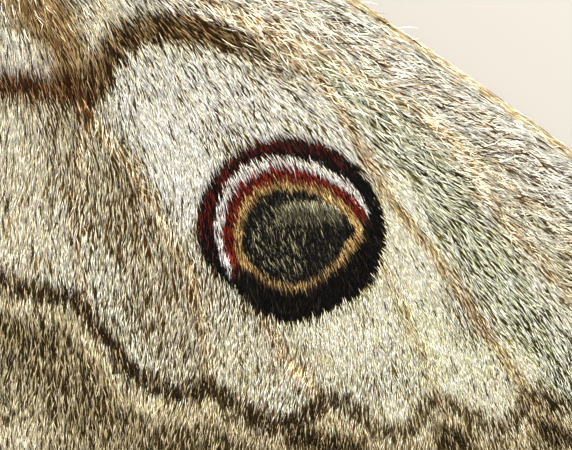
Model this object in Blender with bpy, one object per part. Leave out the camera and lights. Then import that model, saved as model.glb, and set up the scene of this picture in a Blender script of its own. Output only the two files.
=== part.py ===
"""Female emperor moth at life size, standing with its four wings spread flat."""
import math
import random

import bmesh
import bpy
from mathutils import Vector
from mathutils.geometry import delaunay_2d_cdt

MM = 0.001

# Where neighbouring pieces meet they keep this much air.
GAP = 0.3 * MM
FLOOR = 0.0

# The body lies along Y with its head towards -Y. Places along it are counted from the thorax's middle.
THORAX_Y = -6.4 * MM
SECTION_POWER = 2.4

# Stations of the body under its coat: (place along the body, half width, half height, middle height).
THORAX_STATIONS = [
    (-5.2 * MM, 2.5 * MM, 2.5 * MM, 6.3 * MM),
    (-3.2 * MM, 3.8 * MM, 3.7 * MM, 6.3 * MM),
    (0.0 * MM, 4.2 * MM, 4.2 * MM, 6.3 * MM),
    (3.0 * MM, 4.1 * MM, 4.1 * MM, 6.2 * MM),
    (4.6 * MM, 3.8 * MM, 3.8 * MM, 6.1 * MM),
]
ABDOMEN_STATIONS = [
    (4.9 * MM, 3.8 * MM, 3.8 * MM, 6.0 * MM),
    (8.0 * MM, 4.5 * MM, 4.5 * MM, 5.3 * MM),
    (13.0 * MM, 4.9 * MM, 4.9 * MM, 4.75 * MM),
    (18.0 * MM, 4.4 * MM, 4.3 * MM, 4.4 * MM),
    (21.6 * MM, 3.0 * MM, 2.8 * MM, 4.2 * MM),
    (23.2 * MM, 1.3 * MM, 1.2 * MM, 4.1 * MM),
]
HEAD_STATIONS = [
    (-8.7 * MM, 0.7 * MM, 0.8 * MM, 5.5 * MM),
    (-8.2 * MM, 1.4 * MM, 1.5 * MM, 5.6 * MM),
    (-7.1 * MM, 1.9 * MM, 2.1 * MM, 5.8 * MM),
    (-5.5 * MM, 2.2 * MM, 2.3 * MM, 6.0 * MM),
]
ABDOMEN_RINGS = 7
RING_DEPTH = 0.04
BODY_SIDES = 18
HEAD_SIDES = 16
THORAX_SECTIONS = 9
HEAD_SECTIONS = 8

EYE_RADIUS = 1.0 * MM
EYE_PLACE = (1.75 * MM, -7.15 * MM, 5.6 * MM)
EYE_GRID = (14, 9)

PALP_ROOT = (0.5 * MM, -8.0 * MM, 4.9 * MM)
PALP_TIP = (0.65 * MM, -9.3 * MM, 4.7 * MM)
PALP_RADIUS = 0.4 * MM
PALP_TIP_RADIUS = 0.25 * MM

# The feeler leaves the head at this place and angle and ends at this tip.
ANTENNA_PLACE = -7.4 * MM
ANTENNA_ANGLE = math.radians(62.0)
ANTENNA_WAY_OUT = (0.55, -0.35, 0.75)
ANTENNA_MIDDLE = (4.2 * MM, -9.4 * MM, 9.2 * MM)
ANTENNA_TIP = (8.6 * MM, -12.4 * MM, 8.6 * MM)
ANTENNA_RADIUS = 0.3 * MM
ANTENNA_TIP_RADIUS = 0.18 * MM
COMB_PAIRS = 13
COMB_LENGTH = 1.3 * MM
COMB_WIDTH = 0.42 * MM
COMB_THICKNESS = 0.4 * MM
COMB_LEAN = 0.5

# The coat's locks: flat, tapered and bent, with their roots sunk in the body.
LOCK_THICKNESS = 0.6 * MM
LOCK_SINK = 0.7 * MM
LOCK_CUTS = (0.0, 0.4, 0.72)
LOCK_TAPER = (1.0, 0.9, 0.55)
LOCK_TIP_RISE = 1.3
THORAX_LOCK = (4.0 * MM, 1.7 * MM, 0.8 * MM)
ABDOMEN_LOCK = (4.1 * MM, 1.8 * MM, 0.5 * MM)
HEAD_LOCK = (1.5 * MM, 0.95 * MM, 0.35 * MM)
THORAX_LOCK_ROWS = 6
THORAX_LOCKS_A_ROW = 9
ABDOMEN_LOCKS_A_ROW = 12

# Rows of locks run round the back between these angles in degrees, clear of the wings' roots.
THORAX_LOCK_ANGLES = (34, 146)
WAIST_LOCK_ANGLES = (24, 156)
ABDOMEN_LOCK_ANGLES = (-22, 202)

# The head's tufts: place along the body, angles in degrees, and how many locks.
HEAD_TUFTS = [(-8.45 * MM, (-20, 200), 6), (-7.9 * MM, (55, 125), 4), (-7.0 * MM, (74, 106), 3)]

# Both wings of a side follow one shallow dome, the hindwing a layer below the forewing.
MEMBRANE = 0.5 * MM
SHOULDER_HEIGHT = 7.5 * MM
WING_SLOPE = 0.05
WING_DROOP = 0.8
WING_CAMBER = 3.5
CAMBER_Y = 8.0 * MM
LAYER_DROP = 1.15 * MM
ROOT_SWELL = 0.5 * MM
ROOT_SWELL_REACH = 2.5 * MM
RIDGE_HEIGHT = 0.22 * MM
RIDGE_HALF_WIDTH = 0.35 * MM
OUTLINE_SPACING = 1.7 * MM
VEIN_SPACING = 2.3 * MM
FILL_SPACING = 3.0 * MM
ROOT_STEPS = 4
CLOSEST_POINTS = 0.04 * MM

# The forewing's costa points forward by this angle from square to the body.
FOREWING_SWEEP = math.radians(-12.0)
FOREWING_ORIGIN = (4.7 * MM, -3.0 * MM)
FOREWING_ROOT = (-2.0 * MM, 1.8 * MM)
HINDWING_ORIGIN = (4.7 * MM, 0.9 * MM)
HINDWING_ROOT = (0.7 * MM, 3.9 * MM)

# Outlines run from the front of the root round the tip to its back, in millimetres along and behind
# the costa.
FOREWING_EDGE = [
    (2.0, 0.55), (8.0, 0.0), (17.0, -0.15), (26.0, 0.1), (31.5, 1.0), (35.0, 2.5), (36.5, 4.6),
    (36.0, 7.6), (33.4, 12.0), (29.0, 16.6), (24.0, 21.0), (19.6, 24.0), (16.4, 25.1), (14.0, 24.4),
    (11.6, 21.2), (8.0, 15.6), (4.6, 10.2), (1.6, 6.6),
]
HINDWING_EDGE = [
    (3.0, -0.6), (9.0, -1.6), (16.0, -1.0), (21.6, 1.8), (24.8, 6.2), (25.6, 11.0), (24.4, 16.0),
    (21.0, 20.2), (16.0, 23.2), (10.8, 24.6), (6.8, 24.0), (4.4, 21.0), (3.0, 14.5), (1.8, 8.0),
]

# Veins: root end, middle and outer end, in the same millimetres.
FOREWING_VEINS = [
    [(0.5, 2.6), (11.0, 1.5), (24.0, 0.9)],
    [(0.5, 3.2), (9.0, 2.9), (17.0, 3.5), (25.5, 6.7), (34.0, 10.0)],
    [(13.0, 2.4), (20.0, 1.9), (27.6, 4.3), (35.2, 7.0)],
    [(20.0, 1.9), (27.5, 2.7), (35.0, 4.2)],
    [(18.6, 6.2), (20.8, 6.8), (25.6, 9.8), (31.0, 13.6)],
    [(9.8, 8.3), (14.5, 9.9), (18.8, 11.0), (22.4, 13.0), (26.4, 17.8)],
    [(13.8, 9.6), (18.0, 12.9), (20.4, 16.5), (22.2, 21.3)],
    [(0.0, 3.9), (6.5, 6.0), (9.8, 8.3), (14.5, 15.1), (18.3, 23.4)],
    [(0.0, 4.5), (5.0, 9.6), (10.2, 17.2), (14.8, 23.4)],
]
HINDWING_VEINS = [
    [(0.6, 0.9), (8.0, 0.2), (21.5, 4.5)],
    [(0.8, 1.4), (9.0, 4.6), (17.0, 7.4), (24.0, 10.4)],
    [(9.0, 4.6), (15.0, 11.0), (22.6, 15.4)],
    [(0.9, 1.8), (7.0, 10.0), (12.5, 16.4), (18.8, 20.4)],
    [(7.0, 10.0), (11.0, 17.5), (14.4, 22.6)],
    [(0.9, 2.2), (4.6, 11.5), (7.6, 18.0), (9.4, 23.2)],
]

# Legs: place of the hip along the body, then knee, ankle and toe as (x, y from the thorax, height), in
# millimetres.
LEGS = {
    "front": (-3.4, (4.6, -6.4, 3.9), (5.6, -9.2, 0.7), (6.6, -12.0)),
    "mid": (-0.6, (7.0, -1.2, 4.4), (10.2, -1.8, 0.7), (13.2, -2.4)),
    "hind": (2.4, (7.0, 4.2, 4.2), (9.6, 8.4, 0.7), (11.4, 11.4)),
}
HIP_ANGLE = math.radians(-48.0)
FEMUR_RADIUS = 0.75 * MM
TIBIA_RADIUS = 0.6 * MM
TARSUS_RADIUS = 0.32 * MM
TARSUS_HEIGHT = 0.27 * MM
TARSUS_START = 0.4
LEG_SPACING = 0.8 * MM
FEELER_SPACING = 0.7 * MM

# Colours as red, green and blue, then roughness.
FINISHES = {
    "wing_scales": ((0.72, 0.69, 0.62), 0.9),
    "body_fur": ((0.55, 0.51, 0.45), 0.95),
    "leg_fur": ((0.42, 0.36, 0.30), 0.95),
    "antenna_horn": ((0.62, 0.50, 0.32), 0.7),
    "eye_glaze": ((0.03, 0.025, 0.02), 0.25),
}


def clear_scene():
    """Remove every object that is already in the file."""
    for old in list(bpy.data.objects):
        bpy.data.objects.remove(old, do_unlink=True)


def finish(name):
    """Return the named Principled material."""
    if name in bpy.data.materials:
        return bpy.data.materials[name]
    colour, roughness = FINISHES[name]
    material = bpy.data.materials.new(name)
    material.use_nodes = True
    shader = material.node_tree.nodes["Principled BSDF"]
    shader.inputs["Base Color"].default_value = (*colour, 1.0)
    shader.inputs["Roughness"].default_value = roughness
    shader.inputs["Metallic"].default_value = 0.0
    return material


def add_object(name, mesh, material):
    """Link a mesh as an object with its finish."""
    piece = bpy.data.objects.new(name, mesh)
    mesh.materials.clear()
    mesh.materials.append(finish(material))
    bpy.context.scene.collection.objects.link(piece)
    return piece


def object_from(bm, name, material):
    """Turn a bmesh into an object with its faces pointing out."""
    bmesh.ops.recalc_face_normals(bm, faces=bm.faces[:])
    mesh = bpy.data.meshes.new(name)
    bm.to_mesh(mesh)
    bm.free()
    return add_object(name, mesh, material)


def curve_through(points, spacing):
    """Return points about one spacing apart on a smooth curve through the given points."""
    chain = [Vector(point) for point in points]
    run = [2 * chain[0] - chain[1], *chain, 2 * chain[-1] - chain[-2]]
    result = []
    for before, start, end, after in zip(run, run[1:], run[2:], run[3:]):
        steps = max(1, round((end - start).length / spacing))
        for step in range(steps):
            t = step / steps
            bend = 2 * before - 5 * start + 4 * end - after
            twist = 3 * start - before - 3 * end + after
            result.append(0.5 * (2 * start + (end - before) * t + bend * t * t + twist * t ** 3))
    result.append(chain[-1])
    return result


def station_at(stations, y):
    """Return half width, half height and middle height at a place along the body."""
    for low, high in zip(stations, stations[1:]):
        if y <= high[0] or high is stations[-1]:
            break
    t = (y - low[0]) / (high[0] - low[0])
    t = min(max(t, 0.0), 1.0)
    before = stations[max(stations.index(low) - 1, 0)]
    after = stations[min(stations.index(high) + 1, len(stations) - 1)]
    span = high[0] - low[0]
    values = []
    for k in (1, 2, 3):
        slope_low = (high[k] - before[k]) / (high[0] - before[0]) * span
        slope_high = (after[k] - low[k]) / (after[0] - low[0]) * span
        values.append((2 * t ** 3 - 3 * t * t + 1) * low[k] + (t ** 3 - 2 * t * t + t) * slope_low
                      + (3 * t * t - 2 * t ** 3) * high[k] + (t ** 3 - t * t) * slope_high)
    return values


def section_point(stations, y, angle, scale=1.0):
    """Return a point of the rounded cross-section, with angle 0 at +X and 90 degrees on top."""
    half_width, half_height, middle = station_at(stations, y)
    c, s = math.cos(angle), math.sin(angle)
    power = 2.0 / SECTION_POWER
    x = math.copysign(abs(c) ** power, c) * half_width * scale
    z = middle + math.copysign(abs(s) ** power, s) * half_height * scale
    return Vector((x, THORAX_Y + y, max(z, FLOOR)))


def loft(name, stations, places, sides, material, ring_scale=None):
    """Join rounded cross-sections from place to place along the body and close both ends."""
    bm = bmesh.new()
    rings = []
    for y in places:
        scale = ring_scale(y) if ring_scale else 1.0
        angles = [math.tau * k / sides for k in range(sides)]
        rings.append([bm.verts.new(section_point(stations, y, angle, scale)) for angle in angles])
    for ring, following in zip(rings, rings[1:]):
        for k in range(sides):
            n = (k + 1) % sides
            bm.faces.new((ring[k], ring[n], following[n], following[k]))
    bm.faces.new(rings[0])
    bm.faces.new(rings[-1])
    return object_from(bm, name, material)


def even_places(stations, count):
    """Return evenly spread places from the first station to the last."""
    first, last = stations[0][0], stations[-1][0]
    return [first + (last - first) * k / (count - 1) for k in range(count)]


def boolean(piece, tool, operation):
    """Join a tool to a piece or cut it away, and remove the tool."""
    modifier = piece.modifiers.new(operation.lower(), "BOOLEAN")
    modifier.operation = operation
    modifier.solver = "EXACT"
    modifier.object = tool
    bpy.context.view_layer.objects.active = piece
    bpy.ops.object.modifier_apply(modifier=modifier.name)
    bpy.data.objects.remove(tool, do_unlink=True)


def fuse(piece, forms):
    """Join a collection of closed forms to a piece and keep its largest closed surface."""
    group = bpy.data.collections.new(piece.name + "_forms")
    bpy.context.scene.collection.children.link(group)
    for form in forms:
        bpy.context.scene.collection.objects.unlink(form)
        group.objects.link(form)
    modifier = piece.modifiers.new("fuse", "BOOLEAN")
    modifier.operation = "UNION"
    modifier.solver = "EXACT"
    modifier.operand_type = "COLLECTION"
    modifier.collection = group
    bpy.context.view_layer.objects.active = piece
    bpy.ops.object.modifier_apply(modifier=modifier.name)
    for form in forms:
        bpy.data.objects.remove(form, do_unlink=True)
    bpy.data.collections.remove(group)
    keep_largest(piece)


def keep_largest(piece):
    """Drop every closed surface of a piece but the one with the most faces."""
    bm = bmesh.new()
    bm.from_mesh(piece.data)
    left = set(bm.verts)
    surfaces = []
    while left:
        reached = {left.pop()}
        edge_of_search = list(reached)
        while edge_of_search:
            vert = edge_of_search.pop()
            for link in vert.link_edges:
                other = link.other_vert(vert)
                if other not in reached:
                    reached.add(other)
                    edge_of_search.append(other)
        left -= reached
        surfaces.append(reached)
    largest = max(surfaces, key=len)
    spare = [vert for vert in bm.verts if vert not in largest]
    bmesh.ops.delete(bm, geom=spare, context="VERTS")
    bm.to_mesh(piece.data)
    bm.free()


def lock(root, along, up, size, thickness, material, sink=LOCK_SINK):
    """Build one flat lock that leaves the body at root, lies along it and tapers to its tip."""
    length, width, rise = size
    across = along.cross(up).normalized()
    bm = bmesh.new()
    rings = []
    for cut, taper in zip(LOCK_CUTS, LOCK_TAPER):
        lift = -sink + (rise + sink) * math.sin(0.5 * math.pi * min(cut / LOCK_CUTS[1], 1.0))
        centre = root + along * length * cut + up * lift
        side, top = across * 0.5 * width * taper, up * 0.5 * thickness * taper
        rings.append([bm.verts.new(centre + step) for step in (side, top, -side, -top)])
    tip = bm.verts.new(root + along * length + up * rise * LOCK_TIP_RISE)
    for ring, following in zip(rings, rings[1:]):
        for k in range(4):
            n = (k + 1) % 4
            bm.faces.new((ring[k], ring[n], following[n], following[k]))
    for k in range(4):
        bm.faces.new((rings[-1][k], rings[-1][(k + 1) % 4], tip))
    bm.faces.new(rings[0])
    return object_from(bm, "lock", material)


def surface_frame(stations, y, angle):
    """Return a place on the body with the directions back along it and out of it."""
    step = 0.05 * MM
    turn = 0.02
    place = section_point(stations, y, angle)
    back = section_point(stations, y + step, angle) - section_point(stations, y - step, angle)
    around = section_point(stations, y, angle + turn) - section_point(stations, y, angle - turn)
    out = back.cross(around).normalized()
    return place, back.normalized(), out


def coat_lock(draw, stations, y, angle, size, way=1.0):
    """Build one lock of the body's coat, with its length, width and lie varied."""
    place, back, out = surface_frame(stations, y, angle)
    around = back.cross(out)
    along = (back * way + around * draw.uniform(-0.16, 0.16)).normalized()
    length, width, rise = size
    varied = (length * draw.uniform(0.8, 1.15), width * draw.uniform(0.85, 1.1), rise * draw.uniform(0.8, 1.2))
    return lock(place, along, out, varied, LOCK_THICKNESS, "body_fur")


def lock_row(draw, stations, y, angles, count, size):
    """Build a row of locks round the body between two angles in degrees."""
    first, last = angles
    row = []
    for k in range(count):
        angle = first + (last - first) * (k + draw.uniform(-0.15, 0.15)) / (count - 1)
        row.append(coat_lock(draw, stations, y, math.radians(angle), size))
    return row


def ball(name, centre, radius, material):
    """Add a sphere."""
    segments, rings = EYE_GRID
    bm = bmesh.new()
    bmesh.ops.create_uvsphere(bm, u_segments=segments, v_segments=rings, radius=radius)
    bmesh.ops.translate(bm, verts=bm.verts[:], vec=Vector(centre))
    return object_from(bm, name, material)


def tube(name, stations, material):
    """Sweep a round section through (x, y, z, radius) stations, with closed ends."""
    curve = bpy.data.curves.new(name, "CURVE")
    curve.dimensions = "3D"
    curve.bevel_depth = 1.0
    curve.bevel_resolution = 2
    curve.use_fill_caps = True
    spline = curve.splines.new("POLY")
    spline.points.add(len(stations) - 1)
    for point, station in zip(spline.points, stations):
        point.co = (station[0], station[1], station[2], 1.0)
        point.radius = station[3]
    guide = bpy.data.objects.new(name + "_guide", curve)
    bpy.context.scene.collection.objects.link(guide)
    graph = bpy.context.evaluated_depsgraph_get()
    mesh = bpy.data.meshes.new_from_object(guide.evaluated_get(graph))
    bpy.data.objects.remove(guide, do_unlink=True)
    bm = bmesh.new()
    bm.from_mesh(mesh)
    bpy.data.meshes.remove(mesh)
    bmesh.ops.remove_doubles(bm, verts=bm.verts[:], dist=0.001 * MM)
    for vert in bm.verts:
        vert.co.z = max(vert.co.z, FLOOR)
    return object_from(bm, name, material)


def membrane_height(x, y):
    """Return the height of the forewing's middle surface over a place on the floor."""
    out = max(abs(x) - FOREWING_ORIGIN[0], 0.0)
    back = y - THORAX_Y - CAMBER_Y
    return SHOULDER_HEIGHT - WING_SLOPE * out - WING_DROOP * out * out - WING_CAMBER * back * back


def flank_x(y, height):
    """Return how far the thorax's side stands out at a place along the body and a height."""
    half_width, half_height, middle = station_at(THORAX_STATIONS, y)
    rise = min(abs(height - middle) / half_height, 1.0)
    return half_width * (1.0 - rise ** SECTION_POWER) ** (1.0 / SECTION_POWER)


def plan_point(point, origin, sweep):
    """Turn millimetres along and behind the costa into a place on the floor, on the +X side."""
    x, y = point[0] * MM, point[1] * MM
    c, s = math.cos(sweep), math.sin(sweep)
    return Vector((origin[0] + x * c - y * s, THORAX_Y + origin[1] + x * s + y * c))


def root_edge(root, height):
    """Return the wing's root edge, which follows the thorax's side at the usual gap."""
    places = [root[1] + (root[0] - root[1]) * k / ROOT_STEPS for k in range(ROOT_STEPS + 1)]
    return [Vector((flank_x(y, height) + GAP, THORAX_Y + y)) for y in places]


def inside(point, loop):
    """Tell whether a place on the floor lies inside a closed outline."""
    hit = False
    for a, b in zip(loop, loop[1:] + loop[:1]):
        if (a.y > point.y) != (b.y > point.y):
            if point.x < a.x + (b.x - a.x) * (point.y - a.y) / (b.y - a.y):
                hit = not hit
    return hit


def distance_to_line(point, line):
    """Return the distance from a place to a line of points, and how far along the line it is."""
    best, along = 1.0, 0.0
    for k, (a, b) in enumerate(zip(line, line[1:])):
        run = b - a
        t = min(max((point - a).dot(run) / run.length_squared, 0.0), 1.0)
        gap = (point - a - run * t).length
        if gap < best:
            best, along = gap, (k + t) / (len(line) - 1)
    return best, along


def vein_rise(point, veins):
    """Return how far the veins lift the wing's upper surface at a place."""
    rise = 0.0
    for line in veins:
        gap, along = distance_to_line(point, line)
        full = RIDGE_HEIGHT * (1.0 - 0.45 * along)
        rise = max(rise, full * (1.0 - gap / RIDGE_HALF_WIDTH))
    return rise


def shifted(line, offset):
    """Return a line of points moved sideways by an offset."""
    moved = []
    for k, point in enumerate(line):
        run = line[min(k + 1, len(line) - 1)] - line[max(k - 1, 0)]
        moved.append(point + Vector((-run.y, run.x)).normalized() * offset)
    return moved


def wing(name, edge, veins, origin, sweep, root, drop, side):
    """Build one wing: a thin domed sheet with its veins raised on the upper surface."""
    outline = curve_through([plan_point(point, origin, sweep) for point in edge], OUTLINE_SPACING)
    outline += root_edge(root, SHOULDER_HEIGHT - drop)
    lines = [curve_through([plan_point(p, origin, sweep) for p in vein], VEIN_SPACING) for vein in veins]
    places, links = list(outline), [(k, (k + 1) % len(outline)) for k in range(len(outline))]
    for line in lines:
        for row in (line, shifted(line, RIDGE_HALF_WIDTH), shifted(line, -RIDGE_HALF_WIDTH)):
            row = [point for point in row if inside(point, outline)]
            links += [(len(places) + k, len(places) + k + 1) for k in range(len(row) - 1)]
            places += row
    low = Vector((min(p.x for p in outline), min(p.y for p in outline)))
    high = Vector((max(p.x for p in outline), max(p.y for p in outline)))
    rows, columns = int((high.y - low.y) / FILL_SPACING), int((high.x - low.x) / FILL_SPACING)
    for row in range(rows + 1):
        for column in range(columns + 1):
            spot = low + Vector((column + 0.5 * (row % 2), row)) * FILL_SPACING
            if inside(spot, outline) and min((spot - p).length for p in places) > 0.45 * FILL_SPACING:
                places.append(spot)
    scaled = [point / MM for point in places]
    points, _, triangles, *_ = delaunay_2d_cdt(scaled, links, [], 1, CLOSEST_POINTS / MM)

    bm = bmesh.new()
    for point in points:
        spot = point * MM
        swell = ROOT_SWELL * math.exp(-((spot.x - origin[0]) / ROOT_SWELL_REACH) ** 2)
        top = 0.5 * MEMBRANE + vein_rise(spot, lines) + (0.0 if drop else swell)
        bm.verts.new((spot.x, spot.y, membrane_height(spot.x, spot.y) - drop + top))
    bm.verts.ensure_lookup_table()
    for triangle in triangles:
        bm.faces.new([bm.verts[k] for k in triangle])
    grown = bmesh.ops.extrude_face_region(bm, geom=bm.faces[:])["geom"]
    for vert in [item for item in grown if isinstance(item, bmesh.types.BMVert)]:
        swell = ROOT_SWELL * math.exp(-((vert.co.x - origin[0]) / ROOT_SWELL_REACH) ** 2)
        under = 0.5 * MEMBRANE + (swell if drop else 0.0)
        vert.co.z = membrane_height(vert.co.x, vert.co.y) - drop - under
    bmesh.ops.triangulate(bm, faces=[face for face in bm.faces if len(face.verts) > 3])
    for vert in bm.verts:
        vert.co.x *= side
    return object_from(bm, name, "wing_scales")


def leg(name, place, side):
    """Build one leg from its hip below the thorax down to the foot that lies on the floor."""
    hip_y, knee, ankle, toe = place
    hip_y *= MM
    knee, ankle, toe = (Vector(joint) * MM for joint in (knee, ankle, (*toe, 0.0)))
    heel = ankle.lerp(toe, TARSUS_START)
    hip = section_point(THORAX_STATIONS, hip_y, HIP_ANGLE)
    half_width, half_height, middle = station_at(THORAX_STATIONS, hip_y)
    out = Vector((hip.x / half_width ** 2, 0.0, (hip.z - middle) / half_height ** 2)).normalized()
    start = hip + out * GAP
    femur = start + out * 0.8 * MM
    path = [
        (*start, FEMUR_RADIUS),
        (*femur, FEMUR_RADIUS),
        (knee.x, THORAX_Y + knee.y, knee.z, FEMUR_RADIUS),
        (ankle.x, THORAX_Y + ankle.y, ankle.z, 0.5 * (TIBIA_RADIUS + TARSUS_RADIUS)),
        (heel.x, THORAX_Y + heel.y, TARSUS_HEIGHT, TARSUS_RADIUS),
        (toe.x, THORAX_Y + toe.y, TARSUS_HEIGHT, TARSUS_RADIUS),
    ]
    stations = [(side * p[0], p[1], p[2], p[3]) for p in curve_through(path, LEG_SPACING)]
    return tube(name, stations, "leg_fur")


def antenna(name, side):
    """Build one feeler: a shaft with a comb of short branches on both sides."""
    start, out = antenna_root(side)
    middle, tip = Vector(ANTENNA_MIDDLE), Vector(ANTENNA_TIP)
    path = [
        (*start, ANTENNA_RADIUS),
        (*(start + out * 0.7 * MM), ANTENNA_RADIUS),
        (side * middle.x, THORAX_Y + middle.y, middle.z, ANTENNA_RADIUS),
        (side * tip.x, THORAX_Y + tip.y, tip.z, ANTENNA_TIP_RADIUS),
    ]
    stations = curve_through(path, FEELER_SPACING)
    shaft = tube(name, stations, "antenna_horn")
    line = [Vector(station[:3]) for station in stations]
    branches = []
    for pair in range(COMB_PAIRS):
        t = (pair + 1.6) / (COMB_PAIRS + 1.6)
        spot = t * (len(line) - 1)
        k = min(int(spot), len(line) - 2)
        run = (line[k + 1] - line[k]).normalized()
        root = line[k].lerp(line[k + 1], spot - k)
        across = run.cross(Vector((0.0, 0.0, 1.0))).normalized()
        length = COMB_LENGTH * (0.35 + 0.65 * math.sin(math.pi * min(t * 0.92 + 0.04, 1.0)))
        for hand in (-1, 1):
            along = (across * hand + run * COMB_LEAN).normalized()
            up = run.cross(across).normalized()
            size = (length, COMB_WIDTH, 0.0)
            branches.append(lock(root, along, up, size, COMB_THICKNESS, "antenna_horn", 0.0))
    fuse(shaft, branches)
    return shaft


def antenna_root(side):
    """Return where a feeler starts, clear of the head, and its direction there."""
    base = section_point(HEAD_STATIONS, ANTENNA_PLACE, ANTENNA_ANGLE)
    out = Vector(ANTENNA_WAY_OUT).normalized()
    start = base + out * GAP
    return Vector((side * start.x, start.y, start.z)), Vector((side * out.x, out.y, out.z))


def head_with_sockets():
    """Build the head: palps, face tuft and crown tuft, then room for the eyes and feelers."""
    head = loft("head", HEAD_STATIONS, even_places(HEAD_STATIONS, HEAD_SECTIONS), HEAD_SIDES, "body_fur")
    draw = random.Random(5)
    forms = []
    for side in (-1, 1):
        stations = []
        for t in (0.0, 0.5, 1.0):
            spot = Vector(PALP_ROOT).lerp(Vector(PALP_TIP), t)
            radius = PALP_RADIUS + (PALP_TIP_RADIUS - PALP_RADIUS) * t
            stations.append((side * spot.x, THORAX_Y + spot.y, spot.z, radius))
        forms.append(tube("palp", stations, "body_fur"))
    for y, angles, count in HEAD_TUFTS:
        for k in range(count):
            angle = angles[0] + (angles[1] - angles[0]) * k / (count - 1)
            forms.append(coat_lock(draw, HEAD_STATIONS, y, math.radians(angle), HEAD_LOCK, -1.0))
    fuse(head, forms)
    for side in (-1, 1):
        x, y, z = EYE_PLACE
        centre = (side * x, THORAX_Y + y, z)
        boolean(head, ball("socket", centre, EYE_RADIUS + GAP, "body_fur"), "DIFFERENCE")
        start, out = antenna_root(side)
        room = ball("room", start + out * GAP, ANTENNA_RADIUS + GAP, "body_fur")
        boolean(head, room, "DIFFERENCE")
    keep_largest(head)


def ring_bulge(y):
    """Return the abdomen's swelling within each of its rings."""
    first, last = ABDOMEN_STATIONS[0][0], ABDOMEN_STATIONS[-1][0]
    turn = (y - first) / (last - first) * ABDOMEN_RINGS
    return 1.0 - RING_DEPTH * abs(math.cos(math.pi * turn))


def thorax_with_coat():
    """Build the thorax and the long locks on its back, which lie towards the abdomen."""
    sections = even_places(THORAX_STATIONS, THORAX_SECTIONS)
    thorax = loft("thorax", THORAX_STATIONS, sections, BODY_SIDES, "body_fur")
    draw = random.Random(11)
    first, last = THORAX_STATIONS[0][0] + 0.5 * MM, THORAX_STATIONS[-1][0] - 1.2 * MM
    locks = []
    for row in range(THORAX_LOCK_ROWS):
        y = first + (last - first) * row / (THORAX_LOCK_ROWS - 1)
        count = THORAX_LOCKS_A_ROW - row % 2
        locks += lock_row(draw, THORAX_STATIONS, y, THORAX_LOCK_ANGLES, count, THORAX_LOCK)
    fuse(thorax, locks)


def abdomen_with_coat():
    """Build the ringed abdomen with a row of locks on each ring and a tuft at its end."""
    rings = even_places(ABDOMEN_STATIONS, 2 * ABDOMEN_RINGS + 1)
    abdomen = loft("abdomen", ABDOMEN_STATIONS, rings, BODY_SIDES, "body_fur", ring_bulge)
    draw = random.Random(23)
    first, last = ABDOMEN_STATIONS[0][0] + 1.2 * MM, ABDOMEN_STATIONS[-1][0] - 2.3 * MM
    locks = []
    for row in range(ABDOMEN_RINGS):
        y = first + (last - first) * row / (ABDOMEN_RINGS - 1)
        angles = WAIST_LOCK_ANGLES if row == 0 else ABDOMEN_LOCK_ANGLES
        count = ABDOMEN_LOCKS_A_ROW - row % 2
        locks += lock_row(draw, ABDOMEN_STATIONS, y, angles, count, ABDOMEN_LOCK)
    fuse(abdomen, locks)


def main():
    """Build every piece."""
    clear_scene()
    head_with_sockets()
    thorax_with_coat()
    abdomen_with_coat()
    for hand, side in (("right", -1), ("left", 1)):
        x, y, z = EYE_PLACE
        ball("eye_" + hand, (side * x, THORAX_Y + y, z), EYE_RADIUS, "eye_glaze")
        antenna("antenna_" + hand, side)
        for pair, place in LEGS.items():
            leg("leg_" + pair + "_" + hand, place, side)
        wing("forewing_" + hand, FOREWING_EDGE, FOREWING_VEINS, FOREWING_ORIGIN, FOREWING_SWEEP,
             FOREWING_ROOT, 0.0, side)
        wing("hindwing_" + hand, HINDWING_EDGE, HINDWING_VEINS, HINDWING_ORIGIN, 0.0,
             HINDWING_ROOT, LAYER_DROP, side)


main()
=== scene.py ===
# %% [markdown]
# # A female emperor moth at life size
# The picture is a macro view of one part of the moth: the eye spot of the right forewing, the pale cell
# above it, the two dark wavy lines on either side and a stretch of the wing's front edge. The camera
# keeps that framing. The rest of the animal is finished from the species, so that it also holds up from
# the side, from the back and from above.
#
# A moth is a soft body and four thin sheets, all covered with scales and hairs. What the eye reads as
# colour is thousands of small flat hairs, each of one colour. So the markings here are worked out for
# each hair by one set of functions, and the skin below takes the same colours from them.

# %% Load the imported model
import math

import bpy
import numpy as np
from mathutils import Matrix, Vector, kdtree


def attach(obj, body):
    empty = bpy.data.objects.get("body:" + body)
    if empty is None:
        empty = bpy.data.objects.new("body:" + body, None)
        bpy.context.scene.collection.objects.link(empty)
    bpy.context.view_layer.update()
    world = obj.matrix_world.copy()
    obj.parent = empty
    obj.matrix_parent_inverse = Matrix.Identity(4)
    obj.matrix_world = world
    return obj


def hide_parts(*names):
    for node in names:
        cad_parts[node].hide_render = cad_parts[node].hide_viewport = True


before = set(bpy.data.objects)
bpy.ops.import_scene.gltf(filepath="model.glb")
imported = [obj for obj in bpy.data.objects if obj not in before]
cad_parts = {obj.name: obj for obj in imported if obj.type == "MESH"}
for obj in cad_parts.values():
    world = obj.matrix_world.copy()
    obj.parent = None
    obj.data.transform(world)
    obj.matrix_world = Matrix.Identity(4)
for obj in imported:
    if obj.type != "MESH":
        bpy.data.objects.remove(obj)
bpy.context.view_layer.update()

bpy.ops.object.select_all(action="DESELECT")
print("nodes of the packed model:", sorted(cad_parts))

# %% [markdown]
# ## Sizes
# All lengths on a wing are in millimetres along its front edge, the costa, and behind it, because that
# is how a moth's wing is measured and described. One function turns them into metres in the model's
# frame. The body is described by stations: the place along it, half width, half height and middle height.

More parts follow.
